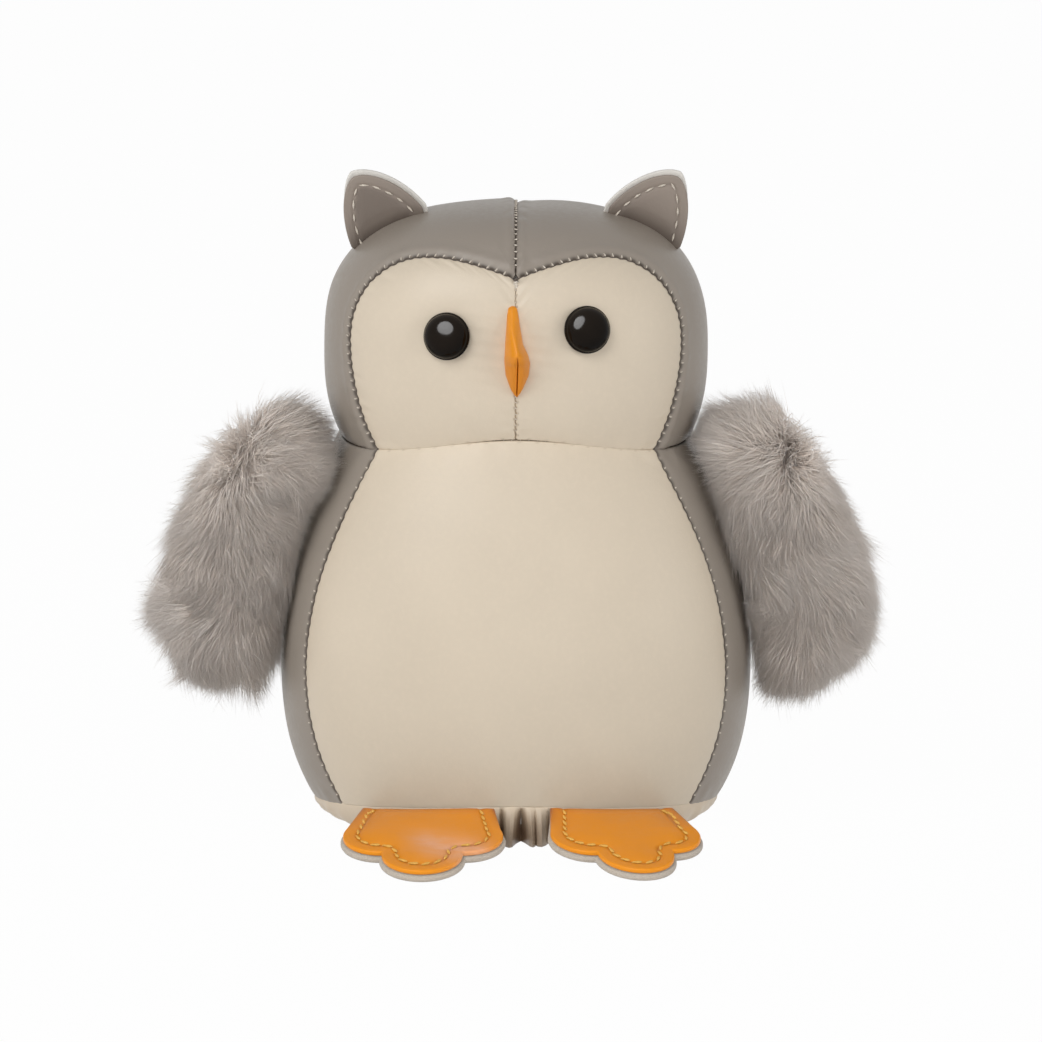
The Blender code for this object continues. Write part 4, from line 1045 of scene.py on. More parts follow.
def buildSeamThreads():
    lots = np.random.default_rng(7)
    for name, (line, kind, *sizes, slant, thread, slot) in threads.items():
        half, radius, sunk, over = (size / 1000 for size in sizes)
        spots, ways, normals = alongLine(stitchLines[line], seams[kind]["pitch"])
        places = []
        for spot, way, normal in zip(spots[1:-1], ways[1:-1], normals[1:-1]):
            turn = math.radians(slant + lots.uniform(-jitter["turn"], jitter["turn"]))
            aside = np.cross(normal, way)
            along = way * math.cos(turn) + aside * math.sin(turn)
            depth = sunk * lots.uniform(*jitter["depth"])
            further = lots.uniform(-jitter["along"], jitter["along"])
            middle = spot + aside * over - normal * depth + way * further
            places.append((middle, along, normal, half * lots.uniform(*jitter["half"])))
        stitchRow(f"thread_{name}", places, radius, thread, slot, "torso")


# the leather turned in behind each seam: line and finish; those in cream are of the cream panels. Their
# finishes are darker than the panels, painted shade for the gap behind the seam.
turnedEdges = dict(
    crown=("crown", shadedTurnedTaupe), face_left=("faceleft", shadedTurnedTaupe), face_right=("faceright", shadedTurnedTaupe),
    middle=("faceMiddle", shadedTurnedCream), belly_left=("bellyLeft", shadedTurnedTaupe),
    belly_right=("bellyRight", shadedTurnedTaupe), neck_front=("neckFront", shadedTurnedCream),
    neck_left=("neckleft", shadedTurnedTaupe), neck_right=("neckright", shadedTurnedTaupe),
    back=("bodyBack", shadedTurnedTaupe), rim_front=("rimFront", shadedTurnedCream), rim_left=("rimleft", shadedTurnedCream),
    rim_right=("rimright", shadedTurnedCream))
turned = dict(half=0.00055, depth=0.00062, curl=0.00020, wall=0.0003)


def buildTurnedEdges():
    for name, (line, finish) in turnedEdges.items():
        spots, normals = (part[:, None] for part in stitchLines[line])
        aside = np.cross(normals, unit(np.gradient(spots, axis=0)))
        across = np.linspace(-1, 1, 5)[None, :, None]
        depth = turned["depth"] + turned["curl"] * across**2
        outer = spots - normals * depth + aside * across * turned["half"]
        obj, _ = gridPiece("turned_edge_" + name, outer, outer - normals * turned["wall"])
        storeValues(obj, "seam", np.full(len(obj.data.vertices), farFromSeams))
        pointOutward(obj)
        finishPiece(obj, finish, "torso", creamSlot if finish == shadedTurnedCream else taupeSlot)


def buildTack():
    # stitches that close the corner where the crown seam meets both face seams
    spots, normals = stitchLines["faceMiddle"]
    lots = (("dark", darkThread, taupeSlot, 0.00028, ((0.0011, 0.4), (0.0008, -0.3))),
            ("cream", creamThread, creamSlot, 0.00036, ((0.0004, 0.2), (-0.0001, -0.2), (-0.0006, 0.1))))
    for name, thread, slot, radius, stitches in lots:
        places = [(spots[0] + (0, 0.0003, up), np.array((1.0, 0, slant)), normals[0], 0.00065)
                  for up, slant in stitches]
        stitchRow("thread_tack_" + name, places, radius, thread, slot, "torso")


buildSeamThreads()
buildTurnedEdges()
buildTack()
print("seams are stitched")


# ears

ears = dict(inset=0.0054, halfRun=0.0084, setback=0.0060, height=0.0145, power=1.65, corner=0.05,
            front=0.0009, lining=0.0012, cup=0.0016, threadLift=0.00017, stitchInset=0.0022, pitch=0.00285,
            stitchHalf=0.00102, stitchRadius=0.00024, rings=26, steps=85, lean=0.10, apart=0.00005,
            puff=0.00030, puffReach=0.004, dent=0.00022, dentReach=0.0004, footShade=0.90,
            footReach=0.0030, inside=(0.46, 0.0), insideReach=0.0006,
            # how far the front falls short at its outer side, and how far the lining shows past it at
            # the outer side, the top and the inner side
            narrow=-0.0015, show=(-0.0020, 0.0012, 0.0010))


def crownPoint(x, y):
    plan = (np.abs(x) / head["width"]) ** planPower + (np.abs(y) / head["depth"]) ** planPower
    share = (1 - plan ** (head["power"] / planPower)) ** (1 / head["power"])
    return Vector((x, y, head["middle"] + head["crown"] * share))


def earFrame(sign):
    spread = head["width"] - ears["inset"] - ears["halfRun"]
    ends = [crownPoint(sign * spread + way * ears["halfRun"], -ears["setback"]) for way in (-1, 1)]
    along = (ends[1] - ends[0]).normalized()
    up = Vector((-along.z, 0, along.x))
    turn = Matrix((along, up, along.cross(up))).transposed().to_4x4()
    return Matrix.Translation((ends[0] + ends[1]) / 2) @ turn, (ends[1] - ends[0]).length / 2


def earOutline(sign, showing):
    # points round the ear from its right foot over the tip to its left foot, and back along the crown
    frameOf, half = earFrame(sign)
    outer, top, inner = showing
    turn = np.linspace(math.pi * ears["corner"], math.pi * (1 - ears["corner"]), ears["steps"])
    x = np.sign(np.cos(turn)) * np.abs(np.cos(turn)) ** (2 / ears["power"])
    y = np.sin(turn) ** (2 / ears["power"])
    outward = x * sign > 0
    x = x * (half + np.where(outward, outer, inner))
    y = y * (ears["height"] + top * (1 - 0.95 * np.clip(x * sign / half * 1.3, 0, 1)))
    low = []
    for across in np.linspace(x[-1], x[0], 37)[1:-1]:
        over = frameOf @ Vector((across, 0, 0))
        low.append((across, (frameOf.inverted() @ crownPoint(over.x, over.y)).y - 0.0006))
    y[[0, -1]] = np.maximum(y[[0, -1]], 0.0003)
    return np.concatenate([np.stack([x, y], -1), np.array(low)])


def edgeAway(points, outline):
    # how far each flat point is from a closed outline
    a, b = outline, np.roll(outline, -1, axis=0)
    ab = b - a
    length = np.maximum((ab**2).sum(-1), 1e-18)
    flat = points.reshape(-1, 2)
    best = np.full(len(flat), 1.0)
    for k in range(len(a)):
        t = np.clip(((flat - a[k]) @ ab[k]) / length[k], 0, 1)
        best = np.minimum(best, np.linalg.norm(flat - a[k] - t[:, None] * ab[k], axis=1))
    return best.reshape(points.shape[:-1])


def paddedSheet(name, outline, heart, rings, thickness, profile, bend, matrix):
    # A flat cut shape as rings round its heart. profile lifts it, and bend moves it off its plane.
    share = (1 - np.linspace(0, 1, rings + 1) ** 1.6)[None, :, None]
    loop = np.concatenate([outline, outline[:1]])[:, None, :]
    flat = heart + (loop - heart) * share
    away = edgeAway(flat[:-1], outline)
    away = np.concatenate([away, away[:1]])
    top = profile(flat, away) if profile else 0 * away
    edge = min(thickness * 0.5, 0.0004)
    drop = edge - np.sqrt(np.maximum(edge**2 - np.maximum(edge - away, 0) ** 2, 0))
    upper = np.concatenate([flat, (top + thickness - drop)[..., None]], -1)
    lower = np.concatenate([flat, (top + drop)[..., None]], -1)
    for layer in (upper, lower):
        layer[..., 2] += bend(layer[..., 0], layer[..., 1])
    obj, spots = wrappedPiece(name, toPlace(matrix, upper), toPlace(matrix, lower))
    return obj, spots, flat


def denseLine(line, step=0.0003):
    run = runAlong(line)
    at = np.linspace(0, run[-1], int(run[-1] / step))
    return np.stack([np.interp(at, run, line[:, k]) for k in range(2)], -1)


def lineAway(points, line):
    parts = np.array_split(points.reshape(-1, 2), 12)
    away = [np.linalg.norm(part[:, None] - line[None], axis=-1).min(1) for part in parts]
    return np.concatenate(away).reshape(points.shape[:-1])


def insetPath(line, inset):
    # the line at an even distance beside a dense open line, on its left
    way = np.gradient(line, axis=0)
    inward = unit(np.stack([-way[:, 1], way[:, 0]], -1))
    path = line + inward * inset
    return path[lineAway(path, line) > inset * 0.95]


def buildEar(side, sign):
    frameOf, half = earFrame(sign)
    outline = earOutline(sign, (ears["narrow"], 0, 0))
    heart = np.array((0, ears["height"] * 0.42))
    cutEdge = denseLine(outline[:ears["steps"]])
    bodyName, slot = "ear_" + side, "ear_leatherette"

    def bend(x, y):
        # cupped: the middle lies behind the two sides, more so low down
        low = np.clip(1.15 - y / ears["height"], 0, 1)
        return -ears["cup"] * (1 - (x / half) ** 2) * low + ears["lean"] * np.maximum(y, 0)

    def soft(flat, away):
        dent = np.exp(-((lineAway(flat, cutEdge) - ears["stitchInset"]) / ears["dentReach"]) ** 2)
        return ears["puff"] * np.clip(away / ears["puffReach"], 0, 1) - ears["dent"] * dent

    ahead = frameOf @ Matrix.Translation((0, 0, ears["apart"]))
    front, (i, j), flat = paddedSheet(f"ear_{side}_front_cupped", outline, heart, ears["rings"],
                                      ears["front"], soft, bend, ahead)
    # painted shade at its foot, and on the left ear inside the row of stitches too
    foot = (frameOf.inverted() @ crownPoint(*(frameOf @ Vector((0, 0, 0)))[:2])).y
    up = np.maximum(flat[..., 1] - foot, 0)
    dark = ears["footShade"] * np.exp(-up / ears["footReach"] - (flat[..., 0] / half) ** 4)
    inside = np.clip((lineAway(flat, cutEdge) - ears["stitchInset"]) / ears["insideReach"], 0, 1)
    dark = np.maximum(dark, ofSide(ears["inside"], sign) * inside)
    closePiece(front, bothFaces(dark)[i, j], earTaupe, bodyName, slot, f"ear_{side}_front")
    behind = frameOf @ Matrix.Translation((0, 0, -ears["lining"] - 2 * ears["apart"]))
    back, (i, j), flat = paddedSheet(f"ear_{side}_lining_cupped", earOutline(sign, ears["show"]), heart,
                                     ears["rings"], ears["lining"], None, bend, behind)
    closePiece(back, np.zeros(len(i)), earCream, bodyName, creamSlot, f"ear_{side}_lining")

    path = insetPath(cutEdge, ears["stitchInset"])
    height = bend(path[:, 0], path[:, 1]) + ears["front"] + ears["threadLift"]
    lots = np.random.default_rng(50 + sign)
    places = []
    for middle, way, out in stitchPath(frameOf, path, height, ears["pitch"]):
        aside = np.cross(out, way)
        along = way + aside * lots.uniform(-0.10, 0.10)
        middle = middle + out * 0.00006 + aside * lots.uniform(-0.00008, 0.00008)
        places.append((middle, along, out, ears["stitchHalf"] * lots.uniform(0.85, 1.1)))
    stitchRow(f"thread_ear_{side}", places, ears["stitchRadius"], creamThread, slot, bodyName)


for side, sign in sides:
    buildEar(side, sign)
print("ears are sewn")


# feet

feet = dict(spread=(0.0193, 0.0222), turn=(0.0, 5.0), hinge=0.0088, gap=0.0005, top=0.0011, sole=0.0011,
            back=((-0.0148, 0.0134), (-0.0144, 0.0125)), margin=0.0005, setback=0.0009, sideRadius=0.0080,
            sideOffset=0.0087, sideReach=0.0146, frontRadius=0.0084, frontReach=0.0230, heel=20.0,
            puff=0.0005, stitchInset=0.0030, pitch=0.00262, stitchHalf=0.00112, stitchRadius=0.00033,
            threadLift=0.00010, rings=40, soleRings=16, heart=0.0135, tuckReach=0.011, under=-0.0002,
            puffReach=0.005, flatBack=0.004, wavy=0.00010, lip=0.00008, lipReach=0.0010, dent=0.00022,
            dentReach=0.00042, crease=0.40, creaseReach=0.00030, tuck=0.92, tuckShade=0.0009, slant=0.26,
            # where a painted sheen lightens the left foot, and how far round that spot
            paintedSheen=(-0.0068, 0.0215), paintedSheenReach=(0.0085, 0.0052),
            # the right foot is cut narrower and skewed outward
            narrow=(1, 0.93), skew=(0, 0.14), shift=(0, 0.0026))


def footSeam(x, height):
    halves = bodyHalves(height)
    share = min(abs(x) / float(halves[0]), 1)
    depth = float(halves[1]) * (1 - share**planPower) ** (1 / planPower)
    return Vector((x, -depth - feet["gap"], height))


def footFrame(sign):
    length = feet["frontReach"] + feet["frontRadius"] + feet["margin"]
    thick = feet["top"] + 0.0003 + feet["sole"]
    slope = math.asin(feet["hinge"] / math.hypot(length, thick)) - math.atan2(thick, length)
    forward = Matrix.Rotation(math.pi + sign * math.radians(ofSide(feet["turn"], sign)), 4, "Z")
    spot = footSeam(sign * ofSide(feet["spread"], sign), feet["hinge"])
    return Matrix.Translation(spot) @ forward @ Matrix.Rotation(-slope, 4, "X")


def arcPoints(centre, radius, first, last, steps):
    turn = np.linspace(first, last, steps + 1)
    return np.stack([centre[0] + radius * np.cos(turn), centre[1] + radius * np.sin(turn)], -1)


def footOutline(sign, margin, setback):
    side, front = feet["sideRadius"] + margin, feet["frontRadius"] + margin
    across, rise = feet["sideOffset"], feet["frontReach"] - feet["sideReach"]
    apart, lean = math.hypot(across, rise), math.atan2(rise, across)
    sideBite = math.acos((apart**2 + side**2 - front**2) / (2 * apart * side))
    frontBite = math.acos((apart**2 + front**2 - side**2) / (2 * apart * front))
    heel = -math.radians(feet["heel"])
    sideArc = arcPoints((across, feet["sideReach"]), side, heel, math.pi - lean - sideBite, 34)
    frontArc = arcPoints((0, feet["frontReach"]), front, -lean + frontBite, math.pi / 2, 26)
    half = np.concatenate([sideArc, frontArc[1:]])
    shape = np.concatenate([half, half[-2::-1] * np.array((-1, 1))])
    narrow, skew, shift, ends = (ofSide(feet[part], sign) for part in ("narrow", "skew", "shift", "back"))
    shape[:, 0] = shape[:, 0] * narrow - shape[:, 1] * skew + shift
    frameOf = footFrame(sign)
    back = []
    for x in np.linspace(*ends, 41) + shift:
        start = 0.0
        for _ in range(4):
            spot = frameOf @ Vector((x, start, 0))
            start += spot.y - footSeam(spot.x, max(spot.z, 0)).y
        back.append((x, start + setback))
    return np.concatenate([shape, np.array(back)]), len(shape)


def buildFoot(side, sign):
    frameOf = footFrame(sign)
    outline, shapeCount = footOutline(sign, 0, 0)
    soleOutline, _ = footOutline(sign, feet["margin"], feet["setback"])
    heart = np.array((0, feet["heart"]))
    lots = np.random.default_rng(60 + sign)
    swell = lots.uniform(0, 6)
    bodyName = "foot_" + side
    backX, backY = outline[shapeCount:].T
    # the cut edge leaves out the edge that is sewn into the body
    cutEdge = denseLine(np.concatenate([outline[-1:], outline[:shapeCount + 1]]))

    def fromBack(x, y):
        return np.maximum(y - np.interp(x, backX, backY), 0)

    def soft(flat, away):
        x, y = flat[..., 0], flat[..., 1]
        cut = lineAway(flat, cutEdge)
        inside = np.clip((cut - feet["stitchInset"]) / feet["puffReach"], 0, 1)
        dent = np.exp(-((cut - feet["stitchInset"]) / feet["dentReach"]) ** 2)
        lip = np.exp(-((cut - feet["stitchInset"] * 0.45) / feet["lipReach"]) ** 2)
        wavy = feet["wavy"] * np.sin(x * 420 + swell) * np.sin(y * 330 + swell) * inside
        full = feet["puff"] * np.sin(inside * math.pi / 2) + wavy
        back = np.clip(fromBack(x, y) / feet["flatBack"], 0, 1)
        return full * back + feet["lip"] * lip - feet["dent"] * dent

    # the back edge is drawn down at both ends, to follow the rim of the base that it is sewn along
    drops = []
    for x, y in zip(backX, backY):
        spot = frameOf @ Vector((x, y, 0))
        rim = float(rimHeight(math.atan2(spot.x, -spot.y)))
        drops.append(min(rim - feet["under"] - spot.z, 0))

    def tucked(x, y):
        near = np.clip(1 - fromBack(x, y) / feet["tuckReach"], 0, 1)
        return np.interp(x, backX, drops) * near**2 * (3 - 2 * near)

    above = frameOf @ Matrix.Translation((0, 0, -feet["top"]))
    top, (i, j), flat = paddedSheet(f"foot_{side}_top_padded", outline, heart, feet["rings"], feet["top"],
                                    soft, tucked, above)
    # painted shade in the crease by the stitches, and painted shadow of the belly along the back edge
    crease = np.exp(-((lineAway(flat, cutEdge) - feet["stitchInset"]) / feet["creaseReach"]) ** 2)
    tuck = feet["tuck"] * np.exp(-fromBack(flat[..., 0], flat[..., 1]) / feet["tuckShade"])
    # a painted sheen on the left foot, paler and pinkish
    (x, y), (wide, high) = np.moveaxis(flat - feet["paintedSheen"], -1, 0), feet["paintedSheenReach"]
    paintedSheen = (sign < 0) * np.exp(-((x + 0.2 * y) / wide) ** 4 - ((y + 0.30 * x) / high) ** 2)
    storeValues(top, "paintedSheen", bothFaces(paintedSheen)[i, j])
    paintedShade = bothFaces(np.maximum(feet["crease"] * crease, tuck))[i, j]
    closePiece(top, paintedShade, orange, bodyName, orangeSlot, f"foot_{side}_top")
    # its colour isn't thrown onto the belly
    top.visible_diffuse = False
    below = frameOf @ Matrix.Translation((0, 0, -feet["top"] - 0.0002 - feet["sole"] - 0.0001))
    sole, (i, j), flat = paddedSheet(f"foot_{side}_sole_felt", soleOutline, heart, feet["soleRings"],
                                     feet["sole"] + 0.0002, None, tucked, below)
    closePiece(sole, np.zeros(len(i)), soleFelt, bodyName, "sole_felt", f"foot_{side}_sole")

    path = insetPath(cutEdge, feet["stitchInset"])
    path = path[fromBack(path[:, 0], path[:, 1]) > 0.0009]
    height = tucked(path[:, 0], path[:, 1]) + feet["threadLift"]
    places = []
    for middle, way, out in stitchPath(frameOf, path, height, feet["pitch"]):
        along = way + np.cross(out, way) * (feet["slant"] + lots.uniform(-0.10, 0.10))
        places.append((middle, along, out, feet["stitchHalf"] * lots.uniform(0.9, 1.1)))
    stitchRow(f"thread_foot_{side}", places, feet["stitchRadius"], orangeThread, orangeSlot, bodyName)


for side, sign in sides:
    buildFoot(side, sign)
print("feet are sewn")


# wings

wings = dict(spread=0.0412, setback=0.0130, root=0.0840, lean=18.0, length=0.0305, width=0.0140, thick=0.0090,
             offset=0.0095, rise=0.0030, outline=3.0, swell=2.2, taper=0.30, peltInset=0.0042, pelt=0.0010,
             halfGap=0.0001, clear=0.0003)


def clearOfTorso(points, clearance):
    # moves points straight out from the owl's upright axis until they are clear of its body and head
    x, y, z = points[..., 0], points[..., 1], points[..., 2]
    low = bodyHalves(np.clip(z, 0, body["neck"]))
    high = headHalves(np.clip(z, body["neck"], head["middle"] + head["crown"] * 0.98))
    width, front, back = (np.where(z < body["neck"], *pair) + clearance for pair in zip(low, high))
    depth = np.where(y < 0, front, back)
    inside = ((np.abs(x) / width) ** planPower + (np.abs(y) / depth) ** planPower) ** (1 / planPower)
    grow = np.where((inside < 1) & (z < head["middle"] + head["crown"]), 1 / np.maximum(inside, 0.2), 1)
    moved = points.copy()
    moved[..., 0] *= grow
    moved[..., 1] *= grow
    return moved


def wingPoint(sign, angle, ring, front, inset, gap=0.0):
    lean = math.radians(wings["lean"])
    down = np.array((sign * math.sin(lean), 0, -math.cos(lean)))
    out = np.array((sign * math.cos(lean), 0, math.sin(lean)))
    reach = squared(angle, wings["outline"])
    along = reach * np.cos(angle)
    taper = 1 - wings["taper"] * np.maximum(-along, 0) ** 2
    length = (wings["length"] - inset) * along * ring
    width = (wings["width"] - inset) * reach * np.sin(angle) * taper * ring
    depth = (wings["thick"] - inset) * (1 - ring ** wings["swell"]) ** (1 / wings["swell"])
    root = np.array((sign * wings["spread"], -wings["setback"], wings["root"]))
    middle = root + down * (wings["length"] - wings["rise"]) + out * wings["offset"]
    point = middle + length[..., None] * down + width[..., None] * out
    point[..., 1] += front * (depth + gap)
    return clearOfTorso(point, wings["clear"] + inset)


def pileFinish():
    # thin strands that let light through, each with a tone of its own and of its lock, and darker toward the
    # root as painted shade deep in the pile
    material, tree, shader = newFinish("greyPile", 0.80, 0.2)
    stored = addNode(tree, "ShaderNodeAttribute", attribute_name="pile").outputs["Color"]
    height, hair, lock = addNode(tree, "ShaderNodeSeparateColor", {0: stored}).outputs
    rootShadedTone = blendColour(tree, spread(tree, height, 0, 1, 0.0, 0.8), (0.93, 0.87, 0.82), (0.99, 0.955, 0.925))
    varied = blendColour(tree, spread(tree, hair, 0, 0.5), rootShadedTone, (0.99, 0.955, 0.915))
    locks = blendColour(tree, spread(tree, lock, 0, 0.35), varied, (0.84, 0.765, 0.70))
    tree.links.new(locks, shader.inputs["Base Color"])
    thin = addNode(tree, "ShaderNodeBsdfTranslucent", {"Color": locks})
    mix = addNode(tree, "ShaderNodeMixShader", {0: 0.56, 1: shader.outputs[0], 2: thin.outputs[0]})
    tree.links.new(mix.outputs[0], tree.nodes["Material Output"].inputs["Surface"])
    return material


pelt = grainyFinish("peltBacking", 0.95, 0.1, (1400, 4), ((0.36, 0.31, 0.27), (0.50, 0.44, 0.39)),
                    (0.0002, 0.8))
greyPile = pileFinish()

pile = dict(hairs=(19000, 15000), locks=900, width=0.00015, topLength=0.0095, lowLength=0.0105, clump=0.58,
            lift=0.46, swirl=0.95, spill=0.0011, lockSpill=0.0018, stray=0.00042, shortest=0.003,
            lengths=(0.70, 1.12), thick=(0.6, 1.25), thinning=0.35, sag=0.10, clear=0.0006,
            # where the rim of the wing starts, and how much longer, more closed and more astray it is
            rim=0.55, rimLength=0.65, rimClosing=0.9, rimStray=4,
            trims=9, trimBy=0.88,
            # where the pile fans out from, for each layer
            whorls=dict(front_under=(0.0535, 0.0775), front_over=(0.0462, 0.0890), back=(0.0470, 0.0880)),
            # places where it is longest
            long=((0.042, 0.080), (0.044, 0.072), (0.055, 0.034)), longReach=0.009, longMore=0.40,
            # edge of the pile seen from the front, in millimetres: across from the middle, and height
            edge=([(-40.5, 90), (-38.6, 86), (-37.5, 82.5), (-36.6, 78.5), (-38.0, 74.6), (-41.0, 70.8),
                   (-44.0, 66.0), (-47.0, 58.0), (-49.8, 46.7), (-51.3, 37.0), (-51.9, 32.0), (-53.2, 29.0),
                   (-56.4, 22.4), (-58.6, 25.0), (-61.0, 28.4), (-64.6, 28.2), (-69.8, 30.0), (-74.6, 32.8),
                   (-77.6, 37.5), (-80.9, 44.6), (-78.0, 53.1), (-75.2, 61.5), (-71.8, 71.0), (-66.5, 79.5),
                   (-59.8, 87.6), (-54.5, 91.0), (-49.7, 93.9), (-45.0, 93.2), (-41.6, 92.3)],
                  [(41.0, 90.0), (38.8, 88.6), (37.4, 84.6), (37.0, 80.7), (39.8, 76.2), (41.8, 70.3),
                   (43.0, 66.4), (46.5, 58.5), (49.0, 53.0), (51.3, 43.7), (52.3, 36.9), (52.6, 28.0),
                   (54.6, 25.6), (57.6, 26.8), (61.6, 24.6), (65.0, 27.0), (69.0, 32.0), (73.2, 32.8),
                   (75.6, 38.5), (79.6, 45.3), (77.8, 51.6), (75.0, 59.6), (70.0, 72.0), (66.5, 78.0),
                   (62.6, 85.0), (57.6, 90.5), (53.0, 94.0), (46.5, 92.6)]))


def wingNormals(sign, angle, ring, front, inset):
    step = 0.01
    spot = lambda turn, share: wingPoint(sign, turn, share, front, inset)
    across = spot(angle, np.clip(ring + step, 0.012, 0.999)) - spot(angle, np.clip(ring - step, 0.001, 0.985))
    normals = unit(np.cross(across, spot(angle + step, ring) - spot(angle - step, ring)))
    flip = np.sign(normals[..., 1] * front + 1e-9)
    return normals * flip[..., None]


def buildPelt(side, sign, half, front):
    turns = np.linspace(0, math.tau, 97)
    angle, ring = np.meshgrid(turns, np.sin(np.linspace(0.002, math.pi / 2, 23)), indexing="ij")
    outer = wingPoint(sign, angle, ring, front, wings["peltInset"], wings["halfGap"])
    inner = wingPoint(sign, angle, ring, front, wings["peltInset"] + wings["pelt"], wings["halfGap"])
    obj, _ = wrappedPiece(f"wing_{side}_{half}_pelt", outer[:, ::-1], inner[:, ::-1])
    weldPiece(obj)
    pointOutward(obj)
    finishPiece(obj, pelt, "wing_" + side, "fur_fabric", f"wing_{side}_{half}")


# How the pile is combed, as shares and metres: its way down, how it falls below the whorl and fans out
# from it and from the wing's middle line, its way up and in at the shoulder, where it stands up, the
# size of the swirls, and how flat it lies.
combing = dict(lean=0.55, fallReach=0.030, fall=(0.45, 0.95), whorlReach=0.020, fan=0.85,
               shoulder=(0.041, 0.077), shoulderReach=0.015, shoulderWay=(3.2, 1.1), weak=0.55,
               standWay=(0.5, -0.2), standWild=2.0, swirlSize=0.016, swirlShare=(0.55, 0.45), flat=0.85)


def nearSpot(points, sign, spot, reach):
    # 1 at a spot seen from the front, and less further away
    flat = (points - (sign * spot[0], 0, spot[1])) * np.array((1, 0, 1))
    return np.exp(-(np.linalg.norm(flat, axis=-1, keepdims=True) / reach) ** 2)


def combed(roots, out, sign, lots, wild, whorl):
    # The way each hair lies on the pelt: away from the crown of the wing at the top, and down below it.
    lean = math.radians(wings["lean"])
    down = np.array((sign * math.sin(lean) * combing["lean"], 0, -1.0))
    crown = np.array((sign * whorl[0], 0, whorl[1]))
    away = (roots - crown) * np.array((1, 0, 1))
    low = np.clip(-away[:, 2:] / combing["fallReach"], -1, 1)
    # fanned out to both sides of the wing's middle line
    top = np.array((sign * wings["spread"], -wings["setback"], wings["root"]))
    acrossWing = np.array((sign * math.cos(lean), 0, math.sin(lean)))
    side = ((roots - top) @ acrossWing - wings["offset"])[:, None] / wings["width"]
    start, more = combing["fall"]
    fall = down * np.clip(start + more * low, 0.0, 1.5)
    comb = away / combing["whorlReach"] + fall + acrossWing * side * combing["fan"]
    # at the shoulder the pile runs up and in, over the side of the body
    inward, upward = combing["shoulderWay"]
    shoulder = nearSpot(roots, sign, combing["shoulder"], combing["shoulderReach"])
    comb = comb + shoulder * np.array((-sign * inward, 0, upward))
    # where the pile has no way to lie it stands up
    standing = np.exp(-(np.linalg.norm(comb, axis=-1, keepdims=True) / combing["weak"]) ** 2)
    outward, upward = combing["standWay"]
    comb = unit(comb + standing * np.array((sign * outward, 0, upward)))
    # swirls that part the pile and push it together again
    least, more = combing["swirlShare"]
    turn = pile["swirl"] * waveField(roots, combing["swirlSize"], 5)[:, None] * (least + more * low)
    sideways = np.cross(comb, (0, 1, 0))
    wild = wild * (1 + combing["standWild"] * standing)
    comb = unit(comb * np.cos(turn) + sideways * np.sin(turn) + lots.normal(size=comb.shape) * wild)
    comb = unit(comb - out * (comb * out).sum(-1, keepdims=True) * combing["flat"])
    return comb, low * 0.5 + 0.5, standing


def outlineReach(points, outline, slack):
    # how far past the outline each point lies, less its slack
    flat = points[..., (0, 2)]
    inside = np.zeros(flat.shape[:-1], bool)
    for a, b in zip(outline, np.roll(outline, -1, axis=0)):
        crosses = (a[1] > flat[..., 1]) != (b[1] > flat[..., 1])
        edge = (b[0] - a[0]) * (flat[..., 1] - a[1]) / (b[1] - a[1] + 1e-12) + a[0]
        inside ^= crosses & (flat[..., 0] < edge)
    return np.where(inside, -1.0, edgeAway(flat, outline)) - slack


def rimShare(ring):
    # 0 over the middle of the wing, growing to 1 at its rim
    return np.clip((ring - pile["rim"]) / (1 - pile["rim"]), 0, 1)


def hairPaths(sign, front, angle, ring, lots, wild, at, unruly, spill, whorl):
    # points along each hair, from its root on the pelt to its tip
    root = wingPoint(sign, angle, ring, front, wings["peltInset"])
    out = wingNormals(sign, angle, ring, front, wings["peltInset"])
    comb, low, standing = combed(root, out, sign, lots, wild, whorl)
    length = pile["topLength"] + (pile["lowLength"] - pile["topLength"]) * low
    length = length * lots.uniform(*pile["lengths"], size=low.shape)
    lift = pile["lift"] + 0.40 * (1 - low) ** 2 + 0.75 * standing
    lift = lift * lots.uniform(1 - unruly, 1 + unruly, size=low.shape)
    comb = comb * (1 - 0.6 * standing)
    rimward = rimShare(ring)[:, None]
    far = sum(nearSpot(root, sign, spot, pile["longReach"]) for spot in pile["long"])
    length = length * (1 + pile["rimLength"] * rimward) * (1 + pile["longMore"] * far)
    # round the rim the tips lean over the seam, so that both halves meet
    closing = pile["rimClosing"] * rimward**3
    t = at[None, :, None]
    rise = out[:, None] * lift[:, None] * (t - 0.45 * t**2) * 1.35
    run = comb[:, None] * (0.35 * t + 0.65 * t**1.5) * 0.95

    def drawn(length):
        path = root[:, None] + length[:, None] * (rise + run)
        path[..., 2] -= (length[:, None] * t**2 * pile["sag"] * low[:, None])[..., 0]
        path[..., 1] -= (path[..., 1] + wings["setback"]) * closing * t[..., 0]
        return path

    # trimmed to the wing's shape
    outline = np.array(ofSide(pile["edge"], sign)) / 1000
    slack = lots.exponential(spill, len(root))
    for _ in range(pile["trims"]):
        past = outlineReach(drawn(length)[:, -1], outline, slack)
        shorter = np.maximum(length * pile["trimBy"], pile["shortest"])
        length = np.where(past[:, None] > 0, shorter, length)
    return drawn(length), root


